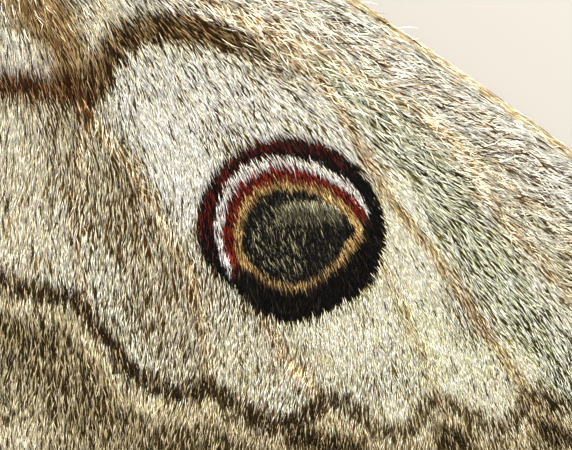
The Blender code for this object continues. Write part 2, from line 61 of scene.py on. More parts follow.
# %% Named sizes of the body
MM = 0.001
THORAX_Y = -6.4
SECTION_POWER = 2.4
THORAX_STATIONS = [
    (-5.2, 2.5, 2.5, 6.3), (-3.2, 3.8, 3.7, 6.3), (0.0, 4.2, 4.2, 6.3), (3.0, 4.1, 4.1, 6.2),
    (5.4, 3.7, 3.7, 6.0),
]
ABDOMEN_STATIONS = [
    (4.3, 3.7, 3.7, 6.0), (8.0, 4.5, 4.5, 5.3), (13.0, 4.9, 4.9, 4.75), (18.0, 4.4, 4.3, 4.4),
    (21.6, 3.0, 2.8, 4.2), (23.2, 1.3, 1.2, 4.1),
]
HEAD_STATIONS = [
    (-8.7, 0.7, 0.8, 5.5), (-8.2, 1.4, 1.5, 5.6), (-7.1, 1.9, 2.1, 5.8), (-4.9, 2.3, 2.4, 6.1),
]
ABDOMEN_RINGS = 7
RING_DEPTH = 0.06
LEGS = {
    "front": ((2.6, -3.4, 3.6), (4.6, -6.4, 3.9), (5.6, -9.2, 0.7), (6.6, -12.0)),
    "mid": ((2.9, -0.6, 3.4), (7.0, -1.2, 4.4), (10.2, -1.8, 0.7), (13.2, -2.4)),
    "hind": ((2.9, 2.4, 3.4), (7.0, 4.2, 4.2), (9.6, 8.4, 0.7), (11.4, 11.4)),
}
TARSUS_HEIGHT = 0.27
EYE_PLACE = (1.75, -7.15, 5.6)
EYE_RADIUS = 1.0
SIDES = {"left": 1.0, "right": -1.0}
print("body from", HEAD_STATIONS[0][0], "to", ABDOMEN_STATIONS[-1][0], "mm along the back")

# %% Named sizes of the wings
SHOULDER_X = 4.7
SHOULDER_HEIGHT = 7.5
WING_SLOPE = 0.05
WING_DROOP = 0.0008
WING_CAMBER = 0.0035
CAMBER_Y = 8.0
WINGS = {
    "forewing": {
        "origin": (4.7, -3.0), "sweep": math.radians(-12.0), "drop": 0.0, "cells": (120, 76),
        "corners": (7, 13),
        "edge": [
            (-2.4, 0.9), (2.0, 0.55), (8.0, 0.0), (17.0, -0.15), (26.0, 0.1), (31.5, 1.0), (35.0, 2.5),
            (36.5, 4.6), (36.0, 7.6), (33.4, 12.0), (29.0, 16.6), (24.0, 21.0), (19.6, 24.0),
            (16.4, 25.1), (14.0, 24.4), (11.6, 21.2), (8.0, 15.6), (4.6, 10.2), (1.6, 6.6), (-3.0, 4.1),
        ],
        "veins": [
            [(0.5, 2.6), (11.0, 1.5), (24.0, 0.9)],
            [(0.5, 3.2), (9.0, 2.9), (15.5, 2.8), (20.0, 4.8), (23.2, 5.9), (28.1, 7.9), (34.0, 10.0)],
            [(13.0, 2.4), (20.0, 1.9), (23.1, 3.0), (27.6, 4.3), (35.2, 7.0)],
            [(20.0, 1.9), (27.5, 2.7), (35.0, 4.2)],
            [(18.6, 6.2), (20.8, 6.8), (24.2, 8.7), (25.6, 9.8), (31.0, 13.6)],
            [(9.8, 8.3), (13.1, 9.5), (15.8, 11.0), (18.0, 12.9), (20.4, 16.5), (22.2, 21.3)],
            [(17.0, 9.8), (20.7, 11.7), (22.4, 12.3), (26.4, 17.8)],
            [(0.0, 3.9), (6.5, 6.0), (9.8, 8.3), (11.3, 11.1), (14.5, 15.1), (16.7, 17.9), (18.3, 23.4)],
            [(0.0, 4.5), (5.0, 9.6), (10.2, 17.2), (14.8, 23.4)],
        ],
    },
    "hindwing": {
        "origin": (4.7, 0.9), "sweep": 0.0, "drop": 1.15, "cells": (84, 76), "corners": (5, 11),
        "edge": [
            (-2.2, -0.1), (3.0, -0.6), (9.0, -1.6), (16.0, -1.0), (21.6, 1.8), (24.8, 6.2), (25.6, 11.0),
            (24.4, 16.0), (21.0, 20.2), (16.0, 23.2), (10.8, 24.6), (6.8, 24.0), (4.4, 21.0), (3.0, 14.5),
            (1.8, 8.0), (-2.2, 3.0),
        ],
        "veins": [
            [(0.6, 0.9), (8.0, 0.2), (21.5, 4.5)],
            [(0.8, 1.4), (9.0, 4.6), (17.0, 7.4), (24.0, 10.4)],
            [(9.0, 4.6), (15.0, 11.0), (22.6, 15.4)],
            [(0.9, 1.8), (7.0, 10.0), (12.5, 16.4), (18.8, 20.4)],
            [(7.0, 10.0), (11.0, 17.5), (14.4, 22.6)],
            [(0.9, 2.2), (4.6, 11.5), (7.6, 18.0), (9.4, 23.2)],
        ],
    },
}
SKIN_HALF = 0.12
VEIN_RISE = 0.08
VEIN_HALF_WIDTH = 0.3
print("each forewing reaches", max(x for x, y in WINGS["forewing"]["edge"]), "mm along its costa")

# %% [markdown]
# ## Places on a wing
# Both wings of a side follow one shallow dome that droops towards the tips. A place on a wing is turned
# into a place in the model by its sweep, its origin at the shoulder and the dome's height. These are
# array functions, because the same few lines later place a hundred thousand hairs at once.

# %% Turn places on a wing into places in the model
def plan(kind, side, x, y):
    """Turn millimetres along and behind the costa into millimetres across and along the model."""
    wing = WINGS[kind]
    c, s = math.cos(wing["sweep"]), math.sin(wing["sweep"])
    across = side * (wing["origin"][0] + x * c - y * s)
    return across, THORAX_Y + wing["origin"][1] + x * s + y * c


def sheet_height(kind, x, y):
    """Return the height of a wing's middle surface, in millimetres."""
    across, along = plan(kind, 1.0, x, y)
    out = np.maximum(across - SHOULDER_X, 0.0)
    back = along - THORAX_Y - CAMBER_Y
    dome = SHOULDER_HEIGHT - WING_SLOPE * out - WING_DROOP * out * out - WING_CAMBER * back * back
    return dome - WINGS[kind]["drop"]


def smooth_line(points, spacing):
    """Return points on a smooth curve through a few given ones."""
    chain = np.array(points, float)
    run = np.vstack([2 * chain[0] - chain[1], chain, 2 * chain[-1] - chain[-2]])
    result = []
    for before, start, end, after in zip(run, run[1:], run[2:], run[3:]):
        steps = max(1, int(round(np.linalg.norm(end - start) / spacing)))
        t = (np.arange(steps) / steps)[:, None]
        bend = 2 * before - 5 * start + 4 * end - after
        twist = 3 * start - before - 3 * end + after
        result.append(0.5 * (2 * start + (end - before) * t + bend * t * t + twist * t ** 3))
    result.append(chain[-1:])
    return np.vstack(result)


def line_gap(x, y, line):
    """Return each place's distance from a line, its side of it and how far along it lies."""
    best = np.full(x.shape, 1e9)
    way = np.ones(x.shape)
    along = np.zeros(x.shape)
    for k in range(len(line) - 1):
        ax, ay = line[k]
        bx, by = line[k + 1] - line[k]
        t = np.clip(((x - ax) * bx + (y - ay) * by) / (bx * bx + by * by), 0.0, 1.0)
        gap = np.hypot(x - ax - t * bx, y - ay - t * by)
        nearer = gap < best
        best = np.where(nearer, gap, best)
        way = np.where(nearer, np.sign(bx * (y - ay) - by * (x - ax)), way)
        along = np.where(nearer, (k + t) / (len(line) - 1), along)
    return best, way, along


def ramp(value, start, end):
    """Return a soft step from 0 at start to 1 at end."""
    t = np.clip((value - start) / (end - start), 0.0, 1.0)
    return t * t * (3.0 - 2.0 * t)


print("the middle of the photographed part lies at", plan("forewing", -1.0, 17.85, 7.73), "mm")

# %% [markdown]
# The wing is thin at its edge and a little thicker along its veins. How thick it is at a place takes
# distances to many lines, so it is worked out once on a fine raster and then looked up.

# %% Work out how thick each wing is
RASTER_LOW = (-6.0, -6.0)
RASTER_HIGH = (42.0, 31.0)
RASTER_STEP = 0.12
THIN_EDGE = 0.8


def wing_outline(kind):
    """Return the wing's outline as a smooth line from the front of its root round to the back."""
    return smooth_line(WINGS[kind]["edge"], 0.6)


def thickness_raster(kind):
    """Return half the wing's thickness and the distance to its edge, on a raster of places."""
    x, y = np.meshgrid(*(np.arange(low, high, RASTER_STEP) for low, high in zip(RASTER_LOW, RASTER_HIGH)),
                       indexing="ij")
    edge, _, _ = line_gap(x, y, wing_outline(kind))
    half = SKIN_HALF * np.sqrt(np.clip(edge / THIN_EDGE, 0.06, 1.0))
    for vein in WINGS[kind]["veins"]:
        gap, _, along = line_gap(x, y, smooth_line(vein, 1.0))
        ridge = VEIN_RISE * (1.0 - 0.5 * along) * np.exp(-(gap / VEIN_HALF_WIDTH) ** 2)
        half = np.maximum(half, half + ridge * np.clip(edge, 0.2, 1.0))
    return half, edge


RASTERS = {kind: thickness_raster(kind) for kind in WINGS}


def between(grid, i, j, s, t):
    """Blend the four values of a repeating grid round a place, by how far it lies from the first."""
    across, down = grid.shape
    low = grid[i % across, j % down] * (1 - s) + grid[(i + 1) % across, j % down] * s
    high = grid[i % across, (j + 1) % down] * (1 - s) + grid[(i + 1) % across, (j + 1) % down] * s
    return low * (1 - t) + high * t


def look_up(raster, x, y):
    """Read a raster between its points."""
    u = np.clip((x - RASTER_LOW[0]) / RASTER_STEP, 0, raster.shape[0] - 1.001)
    v = np.clip((y - RASTER_LOW[1]) / RASTER_STEP, 0, raster.shape[1] - 1.001)
    i, j = u.astype(int), v.astype(int)
    return between(raster, i, j, u - i, v - j)


def edge_gap(kind, x, y):
    """Return how far places on a wing lie from its edge."""
    return look_up(RASTERS[kind][1], x, y)


def wing_place(kind, side, face, x, y, height):
    """Return metres in the model for places that stand off the upper (1) or under (-1) face."""
    across, along = plan(kind, side, x, y)
    level = sheet_height(kind, x, y) + face * (look_up(RASTERS[kind][0], x, y) + height)
    return np.stack([across, along, level], axis=-1) * MM


print("wing half thickness:", round(float(RASTERS["forewing"][0].min()), 3), "to",
      round(float(RASTERS["forewing"][0].max()), 3), "mm")

# %% [markdown]
# ## Markings
# Each marking is a zone with a pale colour, a dark colour and the share of dark hairs. A hair draws
# its colour from the zone it lies in, which gives the salt and pepper look of a moth's wing, and soft
# or ragged edges come by themselves. The zones are lines of a few points with a half width, laid one
# over another: first the ground, then the bands, the veins and the eye spot.

# %% Colours and zones
def paint(red, green, blue):
    """Turn a screen colour from 0 to 255 into the linear colour that a shader takes."""
    c = np.array([red, green, blue], float) / 255.0
    return np.where(c <= 0.04045, c / 12.92, ((c + 0.055) / 1.055) ** 2.4)


def mottle(x, y, size, seed):
    """Return soft seeded blotches from 0 to 1, each of about one size."""
    lattice = np.random.default_rng(seed).random((64, 64))
    u, v = x / size, y / size
    i, j = np.floor(u).astype(int), np.floor(v).astype(int)
    return between(lattice, i, j, ramp(u - i, 0.0, 1.0), ramp(v - j, 0.0, 1.0))


class Marks:
    """The pale colour, dark colour and share of dark hairs at many places, zone laid over zone.

    The share lies under the pale hairs, and the flecks are the few dark hairs that lie over them.
    """

    def __init__(self, x, y, pale, dark, share):
        self.x, self.y = x, y
        self.pale = np.tile(paint(*pale), (len(x), 1))
        self.dark = np.tile(paint(*dark), (len(x), 1))
        self.share = np.full(len(x), float(share))
        self.flecks = np.full(len(x), 0.008)

    def lay(self, weight, pale, dark, share, flecks=0.012):
        """Lay a zone over the marks so far, by its weight at each place."""
        w = weight[:, None]
        self.pale = self.pale * (1 - w) + paint(*pale) * w
        self.dark = self.dark * (1 - w) + paint(*dark) * w
        self.share = self.share * (1 - weight) + share * weight
        self.flecks = self.flecks * (1 - weight) + flecks * weight

    def along(self, line, half, soft, pale, dark, share, flecks=0.012):
        """Lay a zone along a line of points."""
        gap, _, _ = line_gap(self.x, self.y, smooth_line(line, 0.8))
        self.lay(ramp(half + soft - gap, 0.0, 2.0 * soft), pale, dark, share, flecks)

    def drawn(self, is_dark):
        """Return one colour for each place, from a list of which are dark."""
        return np.where(is_dark[:, None], self.dark, self.pale)

    def blended(self):
        """Return the mean colour at each place, as the skin between the hairs has it."""
        return self.pale * (1 - self.share[:, None]) + self.dark * self.share[:, None]


print("a pale hair is", paint(238, 233, 216).round(2), "in linear light")

# %% [markdown]
# The ground of the forewing: pale in the cell and round the eye spot, grizzled brown and grey behind
# the cell, greenish grey near the front edge, warm cream at the back. Two dark lines cross it. The
# first, near the body, is broad, with a reddish rear end. The second is a thin zigzag with a pale line
# behind it, and beyond that the wing is brown, with a pale band before its grey margin.

# %% Zones of the forewing's ground, as (line, half width, softness, pale, dark, share)
FOREWING_GROUND = [
    ([(9.6, 9.4), (13.5, 10.8), (16.2, 12.4)], 1.4, 0.8, (215, 207, 182), (94, 66, 20), 0.46),
    ([(6.8, 10.2), (8.6, 11.6), (10.6, 13.2)], 1.3, 0.8, (239, 231, 208), (146, 116, 56), 0.26),
    ([(11.6, 6.6), (14.6, 4.9), (17.6, 4.3)], 1.5, 0.7, (255, 254, 244), (100, 76, 30), 0.25),
    ([(12.2, 7.3), (14.2, 8.4), (15.0, 8.9)], 1.0, 0.6, (255, 255, 248), (126, 110, 56), 0.17),
    ([(20.9, 4.9), (22.4, 6.7), (22.6, 9.0), (21.6, 10.6)], 1.2, 0.7, (253, 250, 230), (170, 158, 82), 0.11),
    ([(21.2, 11.4), (20.4, 11.8)], 0.8, 0.6, (238, 230, 208), (140, 116, 58), 0.2),
    ([(23.6, 8.0), (25.4, 8.8), (27.2, 7.2)], 0.9, 0.6, (252, 250, 224), (170, 168, 88), 0.11),
    ([(17.0, 13.6), (18.2, 13.6)], 0.7, 0.6, (222, 213, 190), (80, 60, 22), 0.41),
    ([(18.8, 12.2), (19.8, 13.2)], 0.8, 0.6, (240, 234, 210), (146, 126, 66), 0.18),
    ([(16.1, 2.3), (19.3, 2.9), (21.9, 3.6)], 0.75, 0.5, (230, 236, 214), (60, 54, 8), 0.47),
    ([(21.9, 4.1), (25.0, 5.2), (28.0, 6.2), (31.0, 7.6)], 0.8, 0.5, (236, 241, 218), (70, 64, 16), 0.45),
    ([(9.4, 2.0), (15.5, 1.0), (26.0, 1.2), (33.0, 3.0)], 0.9, 0.6, (250, 253, 247), (98, 68, 26), 0.38),
    ([(2.0, 2.2), (7.6, 2.9), (12.0, 2.3)], 1.3, 0.8, (243, 241, 228), (92, 58, 18), 0.38),
    ([(3.0, 4.0), (5.6, 6.2), (7.2, 6.4), (8.6, 7.4)], 0.9, 0.5, (176, 148, 100), (88, 52, 12), 0.52),
    ([(7.7, 4.6), (8.7, 5.3), (9.0, 6.2)], 0.5, 0.4, (252, 240, 212), (112, 76, 28), 0.28),
    ([(6.4, 8.5), (7.7, 7.8)], 0.4, 0.4, (243, 237, 220), (122, 90, 40), 0.2),
    ([(27.4, 7.8), (26.6, 10.2), (24.6, 11.2)], 0.7, 0.6, (246, 240, 218), (160, 150, 82), 0.15),
]
ANTEMEDIAN = [
    (4.4, 10.6), (5.6, 10.0), (6.9, 9.3), (8.6, 8.3), (9.7, 7.7), (9.6, 6.9), (9.5, 6.1), (9.75, 5.2),
    (10.6, 4.4), (11.7, 3.8), (13.0, 3.45), (14.2, 3.3), (15.4, 3.4),
]
POSTMEDIAN = [
    (9.2, 15.6), (10.7, 14.9), (11.7, 14.7), (12.6, 14.3), (13.2, 14.0), (13.9, 14.1), (14.7, 14.5),
    (15.4, 14.6), (15.9, 15.0), (16.8, 14.9), (17.9, 14.8), (18.5, 14.5), (18.7, 14.0), (19.2, 13.9),
    (20.7, 13.9), (21.4, 13.8), (21.8, 13.5), (22.3, 12.6), (22.3, 12.1), (23.0, 11.8), (24.7, 11.7),
    (25.5, 11.1), (25.4, 10.3), (25.6, 9.8), (26.5, 9.7), (27.4, 9.6), (28.1, 9.3), (28.2, 8.5),
    (28.2, 7.9), (29.2, 7.6), (29.8, 7.2), (30.4, 5.6), (30.6, 3.6), (30.6, 1.8),
]
VEIN_TAN = (0.5, 0.85, 0.7, 0.4, 0.45, 0.55, 0.6, 0.5, 0.5)
OUTER_SPOTS = [(22.2, 13.7, 24.2, 12.9), (26.6, 10.7, 27.1, 10.5), (29.3, 8.5, 29.9, 8.6)]
print(len(FOREWING_GROUND), "ground zones and two wavy lines")

# %% [markdown]
# ## The eye spot
# It is drawn in its own axes, which follow the picture: `a` to the right and `b` downwards, from the
# spot's middle. Its rings aren't true circles, so each has its radius listed at a few angles, with 0 to
# the right and 90 down, and the radii between are interpolated. From outside to inside there are a
# black ring mottled with maroon, a white arc, a crimson band, an ochre ring and a black pupil with a
# clear grey crescent in it.

# %% The rings of the eye spot
SPOT_MIDDLE = (18.10, 7.757)
PICTURE_RIGHT = (0.8286, -0.5599)
PICTURE_DOWN = (0.5599, 0.8286)
OUTER_RADII = [(0, 3.3), (35, 3.4), (61, 3.2), (90, 3.28), (110, 3.2), (131, 2.92), (150, 3.1), (180, 3.31),
               (226, 3.3), (270, 3.22), (310, 3.15), (331, 3.18)]
ARC_RADII = [(140, 2.62), (160, 2.54), (183, 2.53), (210, 2.54), (233, 2.52), (258, 2.37), (287, 2.24),
             (312, 2.33), (331, 2.56), (348, 2.65)]
ARC_HALF_WIDTHS = [(136, 0.0), (150, 0.08), (183, 0.12), (225, 0.15), (290, 0.16), (325, 0.13), (346, 0.07),
                   (356, 0.0)]
OCHRE_MIDDLE = (0.226, 0.226)
OCHRE_RADII = [(0, 2.08), (14, 1.8), (50, 1.63), (101, 1.84), (140, 1.95), (162, 2.12), (182, 2.05),
               (219, 2.05), (276, 1.67), (319, 1.76), (338, 1.95), (354, 2.13)]
CRESCENT_MIDDLE = (0.68, -0.52)


def at_angles(table, angle, period=360):
    """Read a table of (angle, value) at many angles."""
    return np.interp(angle, [row[0] for row in table], [row[1] for row in table], period=period)


def polar(a, b):
    """Return the distance from the middle and the angle from 0 to 360 degrees."""
    return np.hypot(a, b), np.degrees(np.arctan2(b, a)) % 360.0


def lay_eye_spot(marks, a, b, scale=1.0):
    """Lay the whole eye spot over the marks, in its own axes."""
    a, b = a / scale, b / scale
    radius, angle = polar(a, b)
    rag = 0.05 * (mottle(a * 7 + 40, b * 7 + 40, 1.0, 5) - 0.5)
    upper_left = ramp(angle, 150, 180) * ramp(330 - angle, 0, 40)
    inside_spot = ramp(at_angles(OUTER_RADII, angle) + rag - radius, -0.05, 0.05)
    marks.lay(inside_spot, (44, 36, 30), (8, 6, 5), 0.86, 0.0)
    rim = upper_left * ramp(radius, 2.66, 2.8) * ramp(3.35 - radius, -0.05, 0.2)
    patchy = ramp(mottle(a * 3 + 9, b * 3 + 5, 1.0, 8), 0.3, 0.6)
    marks.lay(rim * inside_spot * (0.5 + 0.5 * patchy), (106, 28, 20), (26, 10, 8), 0.58)

    away = abs(radius - at_angles(ARC_RADII, angle) - rag)
    half = at_angles(ARC_HALF_WIDTHS, angle)
    inner = at_angles(ARC_RADII, angle) - half
    ring_a, ring_b = a - OCHRE_MIDDLE[0], b - OCHRE_MIDDLE[1]
    ring_radius, ring_angle = polar(ring_a, ring_b)
    ring = at_angles(OCHRE_RADII, ring_angle)
    under_arc = ramp(angle, 135, 155) * ramp(358 - angle, 0, 12)
    band = under_arc * ramp(inner - radius, -0.04, 0.04) * ramp(ring_radius - ring, 0.0, 0.1)
    marks.lay(band, (140, 42, 26), (44, 12, 9), 0.42)
    marks.lay(ramp(half - away, -0.04, 0.03) * ramp(half, 0.0, 0.05), (255, 255, 255), (100, 56, 54), 0.18)

    bright = np.clip(ramp(ring_angle, 120, 150) + ramp(60 - ring_angle, 0, 40), 0, 1)
    width = 0.09 + 0.05 * bright
    ochre = ramp(width - abs(ring_radius - ring - rag), -0.05, 0.04)
    marks.lay(ochre * bright, (212, 178, 118), (122, 86, 48), 0.3)
    marks.lay(ochre * (1 - bright), (190, 158, 106), (100, 72, 42), 0.36)

    pupil = ramp(ring - 0.12 - ring_radius, -0.05, 0.05)
    marks.lay(pupil, (184, 176, 138), (15, 13, 10), 0.97, 0.0)
    frosted = ramp(-ring_a, -0.9, 0.6) * ramp(ring - ring_radius, 0.25, 0.55) * ramp(ring_b, -1.1, -0.3)
    marks.share = marks.share - pupil * (frosted * 0.15)
    ca, cb = a - CRESCENT_MIDDLE[0], b - CRESCENT_MIDDLE[1]
    bow = cb - 0.13 * ca * ca
    crescent = ramp(1.2 - abs(ca), -0.1, 0.3) * ramp(0.3 - abs(bow), -0.05, 0.1)
    marks.lay(pupil * crescent, (112, 106, 84), (50, 46, 34), 0.4, 0.0)
    brim = ramp(1.15 - abs(ca), -0.05, 0.3) * ramp(0.07 - abs(bow + 0.33), -0.03, 0.03)
    marks.lay(pupil * brim, (196, 190, 158), (112, 104, 70), 0.25, 0.0)


def spot_axes(x, y):
    """Turn places on the forewing into the eye spot's own axes."""
    dx, dy = x - SPOT_MIDDLE[0], y - SPOT_MIDDLE[1]
    a = PICTURE_RIGHT[0] * dx + PICTURE_RIGHT[1] * dy
    return a, PICTURE_DOWN[0] * dx + PICTURE_DOWN[1] * dy


print("eye spot across:", round(OUTER_RADII[0][1] + OUTER_RADII[7][1], 2), "mm")

# %% [markdown]
# ## All markings of a wing together
# The hindwing repeats the forewing in a plainer way: a grey ground, one dark line near the body, a
# smaller eye spot, a wavy double line behind it and a brown margin with a pale band.

# %% Markings of the forewing
def forewing_marks(x, y):
    """Return the forewing's marks at many places."""
    marks = Marks(x, y, (240, 238, 220), (98, 76, 30), 0.38)
    edge = edge_gap("forewing", x, y)
    beyond, way, _ = line_gap(x, y, smooth_line(POSTMEDIAN, 0.5))
    outside = np.where(way > 0, beyond, -beyond)
    for line, half, soft, pale, dark, share in FOREWING_GROUND:
        marks.along(line, half, soft, pale, dark, share)
    blotch = mottle(x, y, 0.8, 3)
    marks.share = np.clip(marks.share * (0.75 + 0.5 * blotch), 0.0, 1.0)

    for vein, strength in zip(WINGS["forewing"]["veins"], VEIN_TAN):
        gap, _, far = line_gap(x, y, smooth_line(vein, 0.8))
        tan = ramp(0.2 - gap, -0.16, 0.12) * strength * (1.0 - 0.3 * far)
        marks.lay(tan * ramp(edge, 0.3, 0.9), (214, 192, 154), (118, 82, 38), 0.5)
    marks.lay(ramp(outside, 0.2, 0.8), (208, 196, 164), (84, 66, 26), 0.42, 0.02)
    marks.lay(ramp(outside, 0.6, 1.2) * ramp(3.4 - outside, 0.0, 1.2) * (1.0 - 0.6 * ramp(x, 20.0, 23.0)),
              (192, 178, 144), (72, 54, 20), 0.51, 0.03)
    marks.along([(13.2, 19.6), (15.2, 19.2)], 0.4, 0.5, (226, 210, 174), (112, 92, 52), 0.3)
    marks.along([(11.7, 16.5), (14.0, 15.5), (15.3, 15.6), (16.3, 16.3)], 0.2, 0.3,
                (180, 164, 128), (66, 50, 20), 0.6)
    marks.lay(ramp(outside, 0.3, 0.5) * ramp(1.05 - outside, 0.0, 0.3), (236, 224, 190), (124, 100, 56), 0.36)
    marks.along([(16.5, 16.0), (17.9, 15.7), (19.3, 15.1)], 0.25, 0.3, (230, 216, 180), (112, 92, 52), 0.24)
    for ax, ay, bx, by in OUTER_SPOTS:
        marks.along([(ax, ay), (bx, by)], 0.36, 0.34, (176, 154, 112), (44, 32, 12), 0.62, 0.14)
    pale_band = ramp(edge, 2.0, 2.7) * ramp(4.6 - edge, 0.0, 0.8) * ramp(x * 0.6 + y, 26.0, 28.5)
    marks.lay(pale_band, (238, 229, 202), (150, 128, 92), 0.16)
    margin = ramp(2.4 - edge, 0.0, 0.5) * ramp(x * 0.6 + y, 25.0, 27.5)
    marks.lay(margin, (186, 172, 146), (104, 86, 60), 0.5)
    marks.along([(32.6, 3.0), (34.6, 4.6), (35.4, 6.4)], 0.7, 0.5, (238, 228, 206), (140, 60, 48), 0.3)
    marks.along([(33.4, 5.4), (33.9, 6.4)], 0.45, 0.25, (60, 34, 30), (26, 14, 12), 0.8)
    marks.along([(33.0, 3.6), (34.6, 5.0)], 0.2, 0.2, (172, 58, 48), (120, 34, 28), 0.5)

    dash = 0.16 + 0.1 * mottle(x, y, 0.6, 12)
    zigzag = ramp(dash - beyond, -0.24, 0.14) * (1.0 - 0.3 * ramp(x, 21.0, 25.0))
    marks.lay(zigzag, (194, 172, 132), (62, 44, 18), 0.56, 0.16)
    thick, _, place = line_gap(x, y, smooth_line(ANTEMEDIAN, 0.5))
    half = 0.3 + 0.14 * np.sin(np.pi * np.clip(place * 1.05, 0, 1)) + 0.12 * (mottle(x, y, 0.7, 14) - 0.5)
    soft_edge = ramp(half - thick, -0.34, 0.16)
    reddish = ramp(0.46 - place, 0.0, 0.12)
    faded = 1.0 - 0.8 * ramp(place, 0.84, 1.0)
    marks.lay(soft_edge * faded * (1 - reddish), (164, 136, 92), (56, 36, 12), 0.64, 0.05)
    marks.lay(soft_edge * reddish, (158, 120, 82), (78, 42, 14), 0.62, 0.05)
    marks.along([(9.6, 7.6), (9.85, 8.4)], 0.22, 0.3, (124, 90, 58), (60, 28, 8), 0.7, 0.05)

    lay_eye_spot(marks, *spot_axes(x, y))
    costa = ramp(0.24 - edge, -0.12, 0.08) * ramp(30.0 - y * 3.0 - x * 0.2, 0.0, 6.0)
    marks.lay(costa, (248, 228, 190), (206, 162, 108), 0.35)
    return marks


test = forewing_marks(np.array([18.1, 13.0]), np.array([7.7, 6.2]))
print("pupil and cell, mean linear colour:", test.blended().round(2).tolist())

# %% Markings of the hindwing
HINDWING_ANTEMEDIAN = [(1.6, 9.6), (4.6, 8.6), (7.6, 6.4), (9.6, 3.2), (10.4, -0.4)]
HINDWING_POSTMEDIAN = [(3.6, 16.6), (6.4, 18.0), (9.4, 18.6), (13.0, 18.0), (16.4, 15.8), (18.4, 12.4),
                       (18.8, 8.6), (18.2, 4.6), (17.2, 0.6)]
HINDWING_SPOT = (11.4, 11.6)


def hindwing_marks(x, y):
    """Return the hindwing's marks at many places."""
    marks = Marks(x, y, (226, 218, 198), (116, 98, 70), 0.3)
    edge = edge_gap("hindwing", x, y)
    marks.along([(0.0, 2.0), (3.0, 5.0), (4.0, 12.0)], 3.2, 2.0, (206, 196, 176), (112, 92, 68), 0.4)
    beyond, way, _ = line_gap(x, y, smooth_line(HINDWING_POSTMEDIAN, 0.6))
    outside = np.where(way < 0, beyond, -beyond) + 0.35 * np.sin(x * 1.9) * np.sin(y * 1.7)
    marks.share = np.clip(marks.share * (0.45 + 1.1 * mottle(x, y, 0.8, 21)), 0.0, 1.0)
    marks.lay(ramp(outside, 0.0, 0.5) * ramp(3.4 - outside, 0.0, 1.0), (188, 170, 136), (84, 62, 36), 0.55)
    marks.lay(ramp(outside, 0.4, 0.7) * ramp(1.3 - outside, 0.0, 0.3), (232, 222, 194), (130, 108, 74), 0.25)
    marks.lay(ramp(0.22 - abs(outside), -0.12, 0.12), (128, 102, 68), (52, 36, 18), 0.7)
    marks.lay(ramp(edge, 1.7, 2.2) * ramp(3.6 - edge, 0.0, 0.7) * ramp(x + y, 19, 21),
              (236, 227, 202), (150, 128, 94), 0.18)
    marks.lay(ramp(2.0 - edge, 0.0, 0.4) * ramp(x + y, 18, 20), (176, 160, 134), (98, 80, 56), 0.5)
    band, _, _ = line_gap(x, y, smooth_line(HINDWING_ANTEMEDIAN, 0.6))
    marks.lay(ramp(0.36 - band, -0.15, 0.15), (110, 84, 56), (46, 28, 16), 0.8)
    for vein in WINGS["hindwing"]["veins"]:
        gap, _, far = line_gap(x, y, smooth_line(vein, 0.8))
        marks.lay(ramp(0.2 - gap, -0.08, 0.08) * (0.7 - 0.3 * far), (190, 152, 100), (128, 90, 52), 0.45)
    a, b = x - HINDWING_SPOT[0], y - HINDWING_SPOT[1]
    c, s = math.cos(0.8), math.sin(0.8)
    lay_eye_spot(marks, a * c - b * s, a * s + b * c, 0.8)
    return marks


MARKS = {"forewing": forewing_marks, "hindwing": hindwing_marks}
print("the hindwing's smaller eye spot lies", HINDWING_SPOT, "mm along and behind the wing's front")

# %% [markdown]
# ## Finishes
# Hair and skin share one kind of finish: the colour comes from the mesh's own colours, a fine noise
# varies it a little, and the surface is rough and dull. A material for the coat could also hold a fixed
# colour, but then each marking would need a piece of its own. Only the feelers and the claws have one
# colour each. Constant values go straight into the shader's sockets.

# %% Materials that read the painted colours
def new_material(name, roughness, specular=0.3):
    """Return a new node material and its shader."""
    material = bpy.data.materials.new(name)
    material.use_nodes = True
    shader = material.node_tree.nodes["Principled BSDF"]
    shader.inputs["Roughness"].default_value = roughness
    shader.inputs["Specular IOR Level"].default_value = specular
    return material, shader


def new_node(material, kind, **values):
    """Add a node with values for its inputs, whose names have _ for each space."""
    node = material.node_tree.nodes.new("ShaderNode" + kind)
    for name, value in values.items():
        node.inputs[name.replace("_", " ")].default_value = value
    return node


def varied(material, shader, source, noise_size, low, high):
    """Send a colour to the shader, lighter and darker by a fine noise on the object's coordinates."""
    links = material.node_tree.links
    where = new_node(material, "TexCoord")
    noise = new_node(material, "TexNoise", Scale=1.0 / noise_size, Detail=3.0)
    reach = new_node(material, "MapRange", From_Min=0.3, From_Max=0.7, To_Min=low, To_Max=high)
    blend = new_node(material, "VectorMath")
    blend.operation = "SCALE"
    links.new(where.outputs["Object"], noise.inputs["Vector"])
    links.new(noise.outputs["Fac"], reach.inputs["Value"])
    links.new(source, blend.inputs[0])
    links.new(reach.outputs["Result"], blend.inputs["Scale"])
    links.new(blend.outputs["Vector"], shader.inputs["Base Color"])


def painted_material(name, roughness, specular, noise_size, low, high):
    """Return a material whose colour is the mesh's own colours, gently varied."""
    material, shader = new_material(name, roughness, specular)
    colours = new_node(material, "Attribute")
    colours.attribute_name = "marking"
    varied(material, shader, colours.outputs["Color"], noise_size, low, high)
    return material


def plain_material(name, roughness, specular, colour, noise_size, low, high):
    """Return a material of one colour, gently varied."""
    material, shader = new_material(name, roughness, specular)
    source = new_node(material, "RGB")
    source.outputs[0].default_value = (*paint(*colour), 1.0)
    varied(material, shader, source.outputs[0], noise_size, low, high)
    return material


